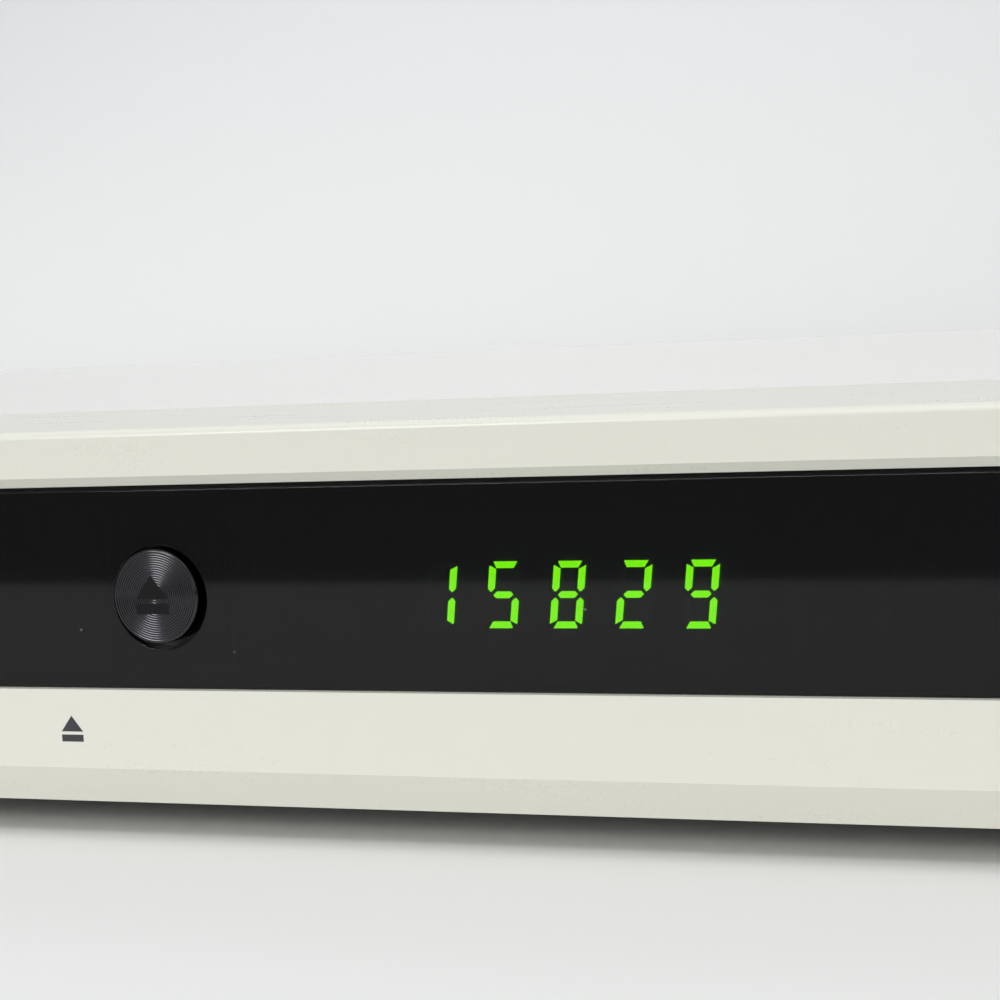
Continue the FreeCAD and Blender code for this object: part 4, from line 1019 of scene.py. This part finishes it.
class GeometryTree(Wiring):
    """A Geometry Nodes tree with named inputs that ends in one plain mesh."""

    def __init__(self, name: str) -> None:
        """Starts a tree that takes a mesh and gives one back."""
        super().__init__(bpy.data.node_groups.new(name, "GeometryNodeTree"))
        for way in ("INPUT", "OUTPUT"):
            self.tree.interface.new_socket("Geometry", in_out=way, socket_type="NodeSocketGeometry")
        self.source = self.add("NodeGroupInput")
        self.sink = self.add("NodeGroupOutput")
        self.keys: dict[str, str] = {}

    def input(self, name: str, kind: str) -> bpy.types.NodeSocket:
        """Adds a named input and gives its socket."""
        made = self.tree.interface.new_socket(name, in_out="INPUT", socket_type=f"NodeSocket{kind}")
        self.keys[name] = made.identifier
        return self.source.outputs[name]

    def node(
        self, kind: str, settings: Settings = None, inputs: Inputs = None, output: str | int = 0
    ) -> bpy.types.NodeSocket:
        """Adds any node and gives one of its outputs."""
        return self.add(kind, settings, inputs).outputs[output]

    def draw(
        self, kind: str, output: int, seed: bpy.types.NodeSocket, low: object, high: object
    ) -> bpy.types.NodeSocket:
        """Draws a number for each point, between two values."""
        low_socket, high_socket = (output * 2, output * 2 + 1)
        given = {low_socket: low, high_socket: high, "Seed": seed}
        return self.node("FunctionNodeRandomValue", {"data_type": kind}, given, output)

    def set_out(
        self,
        template: bpy.types.NodeSocket,
        angle: bpy.types.NodeSocket,
        material: bpy.types.NodeSocket,
        chosen: bpy.types.NodeSocket | bool = True,
    ) -> None:
        """Sets a template on each point, along its facing, and ends the tree.

        Args:
            template: The geometry to repeat.
            angle: How far each copy is turned about its facing.
            material: The material of all copies.
            chosen: Which points get a copy.
        """
        facing = self.node(
            "GeometryNodeInputNamedAttribute", {"data_type": "FLOAT_VECTOR"}, {"Name": "facing"}
        )
        aligned = self.node("FunctionNodeAlignRotationToVector", {"axis": "Z"}, {"Vector": facing})
        twist = self.node("FunctionNodeAxisAngleToRotation", None, {"Axis": (0, 0, 1), "Angle": angle})
        turned = self.node(
            "FunctionNodeRotateRotation",
            {"rotation_space": "LOCAL"},
            {"Rotation": aligned, "Rotate By": twist},
        )
        points = self.node("GeometryNodeMeshToPoints", None, {"Mesh": self.source.outputs[0]})
        copies = self.node(
            "GeometryNodeInstanceOnPoints",
            None,
            {"Points": points, "Selection": chosen, "Instance": template, "Rotation": turned},
        )
        plain = self.node("GeometryNodeRealizeInstances", None, {"Geometry": copies})
        coloured = self.node(
            "GeometryNodeSetMaterial", None, {"Geometry": plain, "Material": material}
        )
        self.tree.links.new(coloured, self.sink.inputs[0])

    def bake(
        self, name: str, places: Sequence[Vector], facings: Sequence[Vector], **values: object
    ) -> bpy.types.Object:
        """Runs the tree once on loose points and keeps the plain mesh.

        Args:
            name: The new object's name.
            places: The points.
            facings: Each point's facing.
            values: The tree's inputs by name.

        Returns:
            The new object.
        """
        mesh = bpy.data.meshes.new(name)
        mesh.from_pydata([tuple(place) for place in places], [], [])
        facing = mesh.attributes.new("facing", "FLOAT_VECTOR", "POINT")
        facing.data.foreach_set("vector", [part for direction in facings for part in direction])
        piece = add_object(name, mesh)
        modifier = piece.modifiers.new("repeat", "NODES")
        modifier.node_group = self.tree
        for key, given in values.items():
            modifier[self.keys[key]] = given
        return baked(piece)


@dataclass(frozen=True)
class ScrewKind:
    """A pan-head screw with a cross recess."""

    head: float
    rise: float
    shank: float = 1.3 * MM
    length: float = 5.0 * MM
    pitch: float = 0.6 * MM
    blade: float = 0.34 * MM

    def template(self, name: str) -> bpy.types.Object:
        """One screw at the origin, its head pointing along Z and its seat at z = 0."""
        thread = [(0.0, -self.length), (self.shank * 0.5, -self.length)]
        for turn in range(int(self.length / self.pitch) - 1):
            low = -self.length + self.pitch * (turn + 0.6)
            thread += [(self.shank * 0.8, low), (self.shank, low + self.pitch * 0.5)]
        dome = [
            (self.head * math.sin(angle), self.rise * (0.35 + 0.65 * math.cos(angle)))
            for angle in quarter(8)[:0:-1]
        ]
        profile = [*thread, (self.shank, 0.0), (self.head, 0.0), *dome, (0.0, self.rise)]
        screw = lathe(name, profile, Vector(), UP, 40)
        arm = self.head * 0.62
        for width, depth in ((arm, self.blade), (self.blade, arm)):
            cutter = block("cutter", (-width, -depth, self.rise * 0.25), (width, depth, self.rise * 2))
            boolean = screw.modifiers.new("recess", "BOOLEAN")
            boolean.operation = "DIFFERENCE"
            boolean.solver = "EXACT"
            boolean.object = cutter
            baked(screw)
            bpy.data.objects.remove(cutter)
        return smoothed(screw, 35.0)


@dataclass
class Screws:
    """Every screw of one node, each turned by its own amount."""

    node: str
    kind: ScrewKind
    facing: Callable[[Vector], Vector] = lambda at: UP
    finish: Finish = SCREW_STEEL
    seed: int = 5

    def tree(self) -> GeometryTree:
        """Sets a screw on every point, along its facing, with a random twist."""
        tree = GeometryTree(f"{self.node}_row")
        template = tree.input("Screw", "Object")
        material = tree.input("Material", "Material")
        seed = tree.input("Seed", "Int")
        shape = tree.node("GeometryNodeObjectInfo", None, {"Object": template}, "Geometry")
        tree.set_out(shape, tree.draw("FLOAT", 1, seed, 0.0, math.pi), material)
        return tree

    def build(self) -> None:
        """Finds each screw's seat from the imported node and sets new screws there."""
        places = []
        facings = []
        for low, high in islands(self.node):
            middle = (low + high) / 2
            facing = self.facing(middle)
            reach = max((corner - middle).dot(facing) for corner in (low, high))
            places.append(middle + facing * (reach - self.kind.rise))
            facings.append(facing)
        template = self.kind.template(f"{self.node}_template")
        steel = self.finish.material()
        piece = self.tree().bake(
            f"{self.node}_set", places, facings, Screw=template, Material=steel, Seed=self.seed
        )
        bpy.data.objects.remove(template)
        finished(piece, Body.HOUSING, steel, [self.node])


@dataclass
class SmallParts:
    """Tiny chip parts on a share of the places of a grid over a board."""

    node: str
    facing: Vector = UP
    spacing: float = 4.2 * MM
    margin: float = 7.0 * MM
    size: tuple[float, float, float] = (1.6 * MM, 0.8 * MM, 0.5 * MM)
    share: float = 0.42
    seed: int = 11

    def tree(self) -> GeometryTree:
        """Sets a small block on a share of the points, square to the board."""
        tree = GeometryTree(f"{self.node}_parts")
        size = tree.input("Size", "Vector")
        share = tree.input("Share", "Float")
        seed = tree.input("Seed", "Int")
        material = tree.input("Material", "Material")
        cube = tree.node("GeometryNodeMeshCube", None, {"Size": size}, "Mesh")
        chosen = tree.node(
            "FunctionNodeRandomValue", {"data_type": "BOOLEAN"}, {"Probability": share, "Seed": seed}, 3
        )
        quarters = tree.draw("INT", 2, seed, 0, 1)
        angle = tree.node(
            "ShaderNodeMath", {"operation": "MULTIPLY"}, {0: quarters, 1: math.pi / 2}
        )
        tree.set_out(cube, angle, material, chosen)
        return tree

    def build(self) -> None:
        """Lays a grid of points over the board's free face."""
        low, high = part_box(self.node)
        normal = max(range(3), key=lambda axis: abs(self.facing[axis]))
        across, along = [axis for axis in range(3) if axis != normal]
        level = high[normal] if self.facing[normal] > 0 else low[normal]
        places = []
        for column in self.steps(low[across], high[across]):
            for row in self.steps(low[along], high[along]):
                place = Vector()
                place[across] = column
                place[along] = row
                place[normal] = level + self.facing[normal] * self.size[2] / 2
                places.append(place)
        black = CHIP.material()
        values = {"Size": self.size, "Share": self.share, "Seed": self.seed, "Material": black}
        facings = [self.facing] * len(places)
        piece = self.tree().bake(f"{self.node}_small_parts", places, facings, **values)
        finished(piece, Body.HOUSING, black)

    def steps(self, low: float, high: float) -> Iterable[float]:
        """Evenly spaced places between two edges, inside the margin."""
        count = int((high - low - 2 * self.margin) / self.spacing)
        return (low + self.margin + self.spacing * (index + 0.5) for index in range(count))


# Case, drive and boards


@dataclass
class Casework:
    """The cover, the base, the back plate, the feet and the screws."""

    foot_round: float = 1.2 * MM
    foot_taper: float = 0.8 * MM
    groove_depth: float = 0.3 * MM
    groove_edges: tuple[float, ...] = (0.3, 0.34, 0.5, 0.54, 0.7, 0.74, 0.9, 0.93)

    def build(self) -> None:
        """Builds the outer case."""
        keep(
            Kept("top_cover", CREAM_PAINT, "cover_paint", edge=0.2 * MM),
            Kept("chassis_base", ZINC, "zinc_steel", edge=0.15 * MM),
            Kept("rear_panel", ZINC, "zinc_steel", edge=0.15 * MM),
        )
        cups = smoothed(self.turned("feet", "feet_cups", self.cup), 35.0)
        finished(cups, Body.HOUSING, FOOT_PLASTIC.material(), ["feet"])
        pads = self.turned("foot_pads", "feet_rubber", self.pad, 64)
        finished(pads, Body.HOUSING, FOOT_RUBBER.material(), ["foot_pads"])
        self.screws()

    @staticmethod
    def screws() -> None:
        """Flat screws in the cover's sides and round ones on the boards and the drive."""
        flat = ScrewKind(3.2 * MM, 0.9 * MM)
        pan = ScrewKind(2.6 * MM, 1.5 * MM)
        Screws(
            "cover_screws", flat, lambda at: Vector((math.copysign(1, at.x), 0, 0)), DARK_SCREW
        ).build()
        Screws("board_screws", pan, seed=8).build()
        Screws("drive_screws", pan, seed=21).build()
        Screws("front_board_screws", pan, lambda at: BACK, seed=3).build()

    @staticmethod
    def turned(
        node: str, name: str, profile: Callable[[float, float, float], Outline], sides: int = 96
    ) -> bpy.types.Object:
        """One turned solid for each separate solid of a node, all as one object.

        Args:
            node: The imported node.
            name: The new object's name.
            profile: Gives the outline from a solid's radius, its lowest z and its highest.
            sides: Facets round the axis.

        Returns:
            The new object.
        """
        made = []
        for low, high in islands(node):
            outline = profile((high.x - low.x) / 2, low.z, high.z)
            made.append(lathe(name, outline, centred(low, high, z=0), UP, sides))
        return joined(name, made)

    def cup(self, radius: float, low: float, high: float) -> Outline:
        """A round foot, narrower and softened at its lower end."""
        foot = radius - self.foot_taper
        soft = self.foot_round
        arc = [
            (foot - soft * (1 - math.sin(angle)), low + soft * (1 - math.cos(angle)))
            for angle in quarter(6)
        ]
        return [(0.0, low), *arc, (radius, high), (0.0, high)]

    def pad(self, radius: float, low: float, high: float) -> Outline:
        """A rubber pad with grooves round its lower face."""
        depths = (0.0, self.groove_depth) * (len(self.groove_edges) // 2)
        grooves = [(radius * share, low + depth) for share, depth in zip(self.groove_edges, depths)]
        return [(0.0, low), *grooves, (radius, low + self.groove_depth), (radius, high), (0.0, high)]


@dataclass
class Loader:
    """The tray, its door, the gears, the belt, the frame, the clamp and the cam slider."""

    door: GlossFinish = GlossFinish("door_black", tone(22, 22, 23), 0.05, 0.0006 * MM, 1.0, 0.3)

    def build(self) -> None:
        """Builds the loading drive."""
        keep(
            Kept("tray_door", self.door, "door_black", Body.TRAY, 0.1 * MM),
            Kept("disc_tray", TRAY_PLASTIC, "tray_black", Body.TRAY, 0.25 * MM),
            Kept("drive_gear", GEAR_PLASTIC, "gear_white", Body.DRIVE_GEAR, 0.08 * MM),
            Kept("idler_pulley", GEAR_PLASTIC, "gear_white", Body.IDLER, 0.08 * MM),
            Kept("motor_pulley", BRASS, "pulley_brass", Body.MOTOR_PULLEY, 0.06 * MM),
            Kept("loading_belt", BELT_RUBBER, "belt_rubber", edge=0.15 * MM),
            Kept("loading_motor", MOTOR_STEEL, "motor_steel", edge=0.5 * MM),
            Kept("loader_frame", FRAME_PLASTIC, "frame_black", edge=0.2 * MM),
            Kept("clamp_bridge", ZINC, "zinc_steel"),
            Kept("disc_clamper", GEAR_PLASTIC, "gear_white", Body.CLAMPER, 0.25 * MM),
            Kept("cam_slider", FRAME_PLASTIC, "frame_black", Body.CAM, 0.15 * MM),
        )


@dataclass
class Traverse:
    """The lifting pickup unit, drawn lowered as it is at rest."""

    dome_radius: float = 2.0 * MM
    dome_rise: float = 0.45 * MM
    dome_foot: float = 0.1 * MM
    glass: GlossFinish = GlossFinish("lens_glass", tone(92, 104, 140), 0.03, specular=0.9)

    def build(self) -> None:
        """Builds the traverse and the glass of its lens."""
        keep(
            Kept("lift_frame", FRAME_PLASTIC, "frame_black", Body.TRAVERSE, 0.2 * MM),
            Kept("traverse_base", ZINC, "zinc_steel", Body.TRAVERSE),
            Kept("rubber_dampers", DAMPER_RUBBER, "damper_rubber", Body.TRAVERSE, 0.4 * MM),
            Kept("guide_rods", ROD_STEEL, "rod_steel", Body.TRAVERSE, 0.2 * MM),
            Kept("spindle_motor", MOTOR_STEEL, "motor_steel", Body.TRAVERSE, 0.5 * MM),
            Kept("turntable", TURNTABLE_GREY, "turntable_grey", Body.SPINDLE, 0.2 * MM),
            Kept("pickup_sled", SLED_METAL, "sled_metal", Body.SLED, 0.3 * MM),
            Kept("pickup_lens", LENS_CARRIER, "lens_carrier", Body.LENS, 0.2 * MM),
            Kept("sled_motor", MOTOR_STEEL, "motor_steel", Body.TRAVERSE, 0.4 * MM),
            Kept("lead_screw", ROD_STEEL, "rod_steel", Body.LEAD_SCREW, 0.1 * MM),
        )
        self.lens()

    def lens(self) -> None:
        """A glass dome on the highest flat face of the lens carrier."""
        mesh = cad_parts["pickup_lens"].data
        tops = [face for face in mesh.polygons if face.normal.z > 0.9]
        normal = max(tops, key=lambda face: face.center.z).normal.copy()
        low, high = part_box("pickup_lens")
        centre = centred(low, high, z=high.z - self.dome_foot)
        dome = [
            (self.dome_radius * math.cos(angle), self.dome_rise * math.sin(angle))
            for angle in quarter(10)[:-1]
        ]
        foot = [(0.0, -self.dome_foot), (self.dome_radius, -self.dome_foot)]
        glass = lathe("lens_dome", [*foot, *dome, (0.0, self.dome_rise)], centre, normal, 64)
        finished(smoothed(glass), Body.LENS, self.glass.material())


@dataclass
class Boards:
    """Both large boards, the front board and what stands on them."""

    supply: BoardFinish = BoardFinish("supply_board", tone(150, 118, 66), tone(172, 140, 84))
    receiver: GlossFinish = GlossFinish("receiver_black", tone(18, 14, 20), 0.1)
    sleeve: Colour = tone(34, 44, 78)
    lid: float = 0.4 * MM
    leg_pitch: float = 0.8 * MM
    leg_reach: float = 0.9 * MM
    leg_width: float = 0.3 * MM
    leg_levels: tuple[float, float] = (0.02 * MM, 0.2 * MM)
    chip_corners: float = 1.2 * MM

    def build(self) -> None:
        """Builds the electronics."""
        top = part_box("capacitors")[1].z - self.lid
        sleeves = CapacitorFinish("capacitor_sleeve", self.sleeve, top=top)
        keep(
            Kept("main_board", BOARD, "circuit_board"),
            Kept("power_board", self.supply, "circuit_board"),
            Kept("front_board", BOARD, "circuit_board"),
            Kept("board_chips", CHIP, "guide_black", edge=0.1 * MM),
            Kept("heat_sink", SINK_METAL, "sink_metal", edge=0.15 * MM),
            Kept("transformer", TAPE, "transformer_tape", edge=0.5 * MM),
            Kept("capacitors", sleeves, "capacitor_sleeve", edge=0.6 * MM),
            Kept("tact_switches", BLACK_PLASTIC, "guide_black"),
            Kept("button_guides", BLACK_PLASTIC, "guide_black"),
            Kept("remote_receiver", self.receiver, "display_black"),
        )
        self.chip_legs()
        SmallParts("main_board").build()
        SmallParts("front_board", BACK, seed=4).build()

    def chip_legs(self) -> None:
        """A row of legs along two sides of every chip."""
        legs = []
        for low, high in islands("board_chips"):
            count = int((high.x - low.x - self.chip_corners) / self.leg_pitch)
            places = spread((low.x + high.x) / 2, self.leg_pitch, count)
            bottom, top = (low.z + level for level in self.leg_levels)
            for near, far in ((low.y - self.leg_reach, low.y), (high.y, high.y + self.leg_reach)):
                legs += bars(places, self.leg_width, (near, bottom), (far, top))
        finished(joined("chip_legs", legs), Body.HOUSING, SCREW_STEEL.material())


@dataclass(frozen=True)
class Tongue:
    """The black tongue in a metal shell, with gold contacts along its lower face.

    Attributes:
        half: Half its width.
        rise: Its height above the shell's floor.
        spacing: The share of the width that the contacts take up.
    """

    node: str
    half: float
    rise: float
    thick: float
    contacts: int
    contact: float
    spacing: float = 0.85
    margin: float = 0.4 * MM
    sunk: float = 0.1 * MM
    proud: float = 0.03 * MM

    def build(self, near: float, far: float) -> None:
        """Makes the tongue and its contacts between two levels of y."""
        low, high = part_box(self.node)
        middle = (low.x + high.x) / 2
        floor = low.z + self.rise
        body = block(
            f"{self.node}_tongue",
            (middle - self.half, near, floor),
            (middle + self.half, far, floor + self.thick),
            0.1 * MM,
        )
        finished(body, Body.HOUSING, BLACK_PLASTIC.material())
        pitch = self.spacing * 2 * self.half / self.contacts
        strips = bars(
            spread(middle, pitch, self.contacts),
            self.contact,
            (near + self.margin, floor - self.proud),
            (far - self.margin, floor + self.sunk),
        )
        gold = joined(f"{self.node}_contacts", strips)
        finished(gold, Body.HOUSING, GOLD.material())


@dataclass(frozen=True)
class Phono:
    """A coloured block with a plated sleeve round a coloured insulator."""

    node: str
    slot: str
    colour: Colour
    radius: float = 4.15 * MM
    wall: float = 0.7 * MM
    lip: float = 0.2 * MM
    bore: float = 1.7 * MM
    bore_depth: float = 3.5 * MM
    bevel: float = 0.3 * MM
    set_back: float = 0.6 * MM
    play: float = 0.02 * MM

    def build(self) -> None:
        """Makes the block, the sleeve and the insulator."""
        low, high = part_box(self.node)
        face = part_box("rear_panel")[1].y
        centre = centred(low, high, y=face)
        length = high.y - face
        inner = self.radius - self.wall
        lip = self.lip
        plastic = MouldedFinish(self.slot, self.colour, 0.3).material()
        housing = block(f"{self.node}_block", low, (high.x, face, high.z), 0.3 * MM)
        finished(housing, Body.HOUSING, plastic, [self.node])
        outside = [(inner, 0.0), (self.radius, 0.0), (self.radius, length - lip)]
        mouth = [(self.radius - lip, length), (inner + lip, length), (inner, length - lip)]
        tube = lathe(f"{self.node}_sleeve", [*outside, *mouth, (inner, 0.0)], centre, BACK)
        finished(smoothed(tube, 30.0), Body.HOUSING, NICKEL.material())
        rim = length - self.set_back
        core = lathe(
            f"{self.node}_core",
            [
                (inner - self.play, 0.0),
                (inner - self.play, rim),
                (self.bore + self.bevel, rim),
                (self.bore, rim - self.bevel),
                (self.bore, -self.bore_depth),
                (0.0, -self.bore_depth),
            ],
            centre,
            BACK,
        )
        finished(core, Body.HOUSING, plastic)


@dataclass
class Sockets:
    """Everything that a plug goes into."""

    flap: GlossFinish = GlossFinish("flap_black", tone(30, 22, 24), 0.2)
    hdmi: Tongue = Tongue("hdmi_socket", 5.53 * MM, 2.87 * MM, 1.26 * MM, 10, 0.3 * MM)
    usb: Tongue = Tongue("usb_port", 5.18 * MM, 2.92 * MM, 1.86 * MM, 4, 1.2 * MM)
    tongue_set_back: float = 0.97 * MM
    hdmi_depth: float = 7.5 * MM
    usb_depth: float = 8.0 * MM
    wire_pitch: float = 1.02 * MM
    wire_width: float = 0.5 * MM
    pin_half_gap: float = 4.3 * MM
    pin_height: float = 9.7 * MM
    pin_set_back: float = 2.5 * MM

    def build(self) -> None:
        """Builds the sockets at the back and the one at the front."""
        keep(
            Kept("mains_inlet", BLACK_PLASTIC, "socket_black", edge=0.25 * MM),
            Kept("hdmi_socket", NICKEL, "zinc_steel", edge=0.06 * MM),
            Kept("lan_socket", NICKEL, "socket_black", edge=0.15 * MM),
            Kept("optical_socket", BLACK_PLASTIC, "socket_black", edge=0.2 * MM),
            Kept("usb_port", NICKEL, "zinc_steel", edge=0.06 * MM),
        )
        Phono("video_jack", "jack_yellow", tone(236, 196, 40)).build()
        Phono("audio_left_jack", "jack_white", tone(232, 232, 228)).build()
        Phono("audio_right_jack", "jack_red", tone(196, 40, 40)).build()
        self.lan_contacts()
        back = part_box("hdmi_socket")[1].y
        self.hdmi.build(back - self.hdmi_depth, back - self.tongue_set_back)
        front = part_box("usb_port")[0].y
        self.usb.build(front + self.tongue_set_back, front + self.usb_depth)
        self.mains_pins()
        self.shutter()

    def mains_pins(self) -> None:
        """Two plated pins with rounded ends over those in the inlet's recess."""
        low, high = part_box("mains_inlet")
        middle = (low.x + high.x) / 2
        shaft = [(1.25 * MM, -7.0 * MM), (1.25 * MM, -0.5 * MM)]
        tip = [(1.05 * MM, -0.12 * MM), (0.6 * MM, 0.0), (0.0, 0.0)]
        pins = []
        for x in (middle - self.pin_half_gap, middle + self.pin_half_gap):
            end = Vector((x, high.y - self.pin_set_back, low.z + self.pin_height))
            pins.append(lathe("pin", [*shaft, *tip], end, BACK, 32))
        pins = smoothed(joined("inlet_pins", pins))
        finished(pins, Body.HOUSING, NICKEL.material())

    def shutter(self) -> None:
        """The sprung flap that closes the optical socket."""
        low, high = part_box("optical_socket")
        middle = (low.x + high.x) / 2
        flap = block(
            "optical_flap",
            (middle - 2.6 * MM, high.y - 1.5 * MM, low.z + 2.6 * MM),
            (middle + 2.6 * MM, high.y - 1.1 * MM, low.z + 7.4 * MM),
            0.1 * MM,
        )
        finished(flap, Body.HOUSING, self.flap.material())

    def lan_contacts(self) -> None:
        """Eight sprung wires in the roof of the network socket."""
        low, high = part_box("lan_socket")
        wires = bars(
            spread((low.x + high.x) / 2, self.wire_pitch, 8),
            self.wire_width,
            (high.y - 10 * MM, low.z + 4.2 * MM),
            (high.y - 2.5 * MM, low.z + 4.6 * MM),
        )
        finished(joined("lan_contacts", wires), Body.HOUSING, GOLD.material())


# Studio


@dataclass
class Studio:
    """Pale table and backdrop, soft lights, and a camera at the photograph's angle."""

    focal_pixels: float = 2632.0
    picture_pixels: float = 1000.0
    sensor: float = 36.0
    yaw: float = math.radians(22.80)
    pitch: float = math.radians(5.37)
    roll: float = math.radians(3.33)
    camera_right: float = 205.7 * MM
    camera_before_face: float = 296.8 * MM
    camera_height: float = 75.1 * MM
    table_before_face: float = 252.5 * MM
    table_half_width: float = 1.6
    table_behind: float = 1.5
    backdrop_height: float = 1.6
    backdrop_round: float = 0.5
    table_tone: Colour = tone(237, 237, 235)
    backdrop_tone: Colour = tone(232, 233, 236)
    middle: Colour = (0.08, -0.1, 0.03)
    room_light: tuple[tuple[float, Colour], ...] = (
        (0.0, (0.008, 0.008, 0.008)),
        (0.02, (0.34, 0.34, 0.34)),
        (0.4, (0.54, 0.55, 0.56)),
        (1.0, (0.64, 0.65, 0.67)),
    )

    def build(self) -> None:
        """Sets up everything round the player."""
        self.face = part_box("display_window")[0].y - 1.2 * MM
        self.camera()
        self.table()
        self.lights()
        self.world()

    def camera(self) -> None:
        """A camera fitted to the photograph's straight edges."""
        data = bpy.data.cameras.new("camera")
        data.sensor_width = self.sensor
        data.sensor_fit = "HORIZONTAL"
        data.lens = self.focal_pixels * self.sensor / self.picture_pixels
        data.clip_start = 0.01
        data.clip_end = 20.0
        camera = bpy.data.objects.new("camera", data)
        bpy.context.scene.collection.objects.link(camera)
        forward = Vector((-math.sin(self.yaw) * math.cos(self.pitch),
                          math.cos(self.yaw) * math.cos(self.pitch), -math.sin(self.pitch)))
        level = Vector((math.cos(self.yaw), math.sin(self.yaw), 0.0))
        upward = level.cross(forward)
        right = level * math.cos(self.roll) - upward * math.sin(self.roll)
        up = level * math.sin(self.roll) + upward * math.cos(self.roll)
        place = Vector((self.camera_right, self.face - self.camera_before_face, self.camera_height))
        columns = Matrix((right, up, -forward)).transposed()
        camera.matrix_world = Matrix.Translation(place) @ columns.to_4x4()
        bpy.context.scene.camera = camera

    def table(self) -> None:
        """One sheet: a flat table that curves up into the backdrop."""
        start = self.face - self.table_before_face
        soft = self.backdrop_round
        turn = [
            (self.table_behind + soft * math.sin(angle), soft * (1 - math.cos(angle)))
            for angle in quarter(24)
        ]
        section = [(start, 0.0), *turn, (self.table_behind + soft, self.backdrop_height)]
        half = self.table_half_width
        work = bmesh.new()
        rows = [[work.verts.new((x, y, z)) for x in (-half, half)] for y, z in section]
        for near, far in zip(rows, rows[1:]):
            work.faces.new((near[0], near[1], far[1], far[0]))
        sheet = smoothed(add_object("table", mesh_of(work, "table")))
        shader = Shader("table_paper")
        height = shader.axis("z").ramp(0.0, 0.6)
        fibre = shader.noise(700.0, 4.0)
        shader.set(
            Base_Color=shader.blend(height, self.table_tone, self.backdrop_tone),
            Roughness=0.75 + fibre * 0.1,
            Normal=shader.bump(fibre, 0.02 * MM),
        )
        sheet.data.materials.append(shader.material)

    @staticmethod
    def softbox(name: str, place: Colour, aim: Colour, size: tuple[float, float], power: float) -> None:
        """One rectangular light, aimed at a point."""
        data = bpy.data.lights.new(name, "AREA")
        data.shape = "RECTANGLE"
        data.size, data.size_y = size
        data.energy = power
        light = bpy.data.objects.new(name, data)
        bpy.context.scene.collection.objects.link(light)
        light.location = place
        light.rotation_euler = (Vector(aim) - Vector(place)).to_track_quat("-Z", "Y").to_euler()

    def lights(self) -> None:
        """A wide light overhead, a small key, two from the front and a wash for the backdrop."""
        self.softbox("overhead", (0.05, -0.3, 1.3), (0.08, -0.2, 0.0), (2.0, 1.3), 4.7)
        self.softbox("key", (-0.12, -0.8, 0.95), self.middle, (0.3, 0.22), 2.2)
        self.softbox("left_fill", (-0.95, -2.2, 0.75), self.middle, (0.6, 0.6), 15.0)
        self.softbox("front_fill", (0.6, -1.2, 0.22), self.middle, (0.7, 0.36), 0.7)
        self.softbox("backdrop_wash", (-1.1, 0.9, 1.4), (-1.3, 1.9, 0.3), (2.4, 1.0), 10.3)

    def world(self) -> None:
        """The backdrop's tone to the camera; for light, an even room, dark below the floor."""
        world = bpy.data.worlds.new("studio")
        world.use_nodes = True
        wiring = Wiring(world.node_tree)
        wiring.tree.nodes.clear()
        where = wiring.add("ShaderNodeTexCoord").outputs["Generated"]
        height = wiring.add("ShaderNodeSeparateXYZ", None, {0: where}).outputs["Z"]
        ramp = wiring.add("ShaderNodeValToRGB", {"stops": self.room_light}, {0: height}).outputs[0]
        room = wiring.add("ShaderNodeBackground", None, {"Color": ramp}).outputs[0]
        seen = wiring.add("ShaderNodeBackground", None, {"Color": self.backdrop_tone}).outputs[0]
        camera = wiring.add("ShaderNodeLightPath").outputs["Is Camera Ray"]
        mix = wiring.add("ShaderNodeMixShader", None, {0: camera, 1: room, 2: seen}).outputs[0]
        wiring.add("ShaderNodeOutputWorld", None, {0: mix})
        bpy.context.scene.world = world
        settings = bpy.context.scene.view_settings
        settings.view_transform = "Standard"
        settings.look = "None"


def main() -> None:
    """Builds the studio and every sub-assembly."""
    logging.basicConfig(level=logging.INFO, format="%(message)s")
    Studio().build()
    FrontPanel().build()
    DisplayStrip().build()
    Readout().build()
    PressButton("eject_button", Body.EJECT).build()
    PressButton("power_button", Body.POWER).build()
    Casework().build()
    Loader().build()
    Traverse().build()
    Boards().build()
    Sockets().build()


if __name__ == "__main__":
    main()
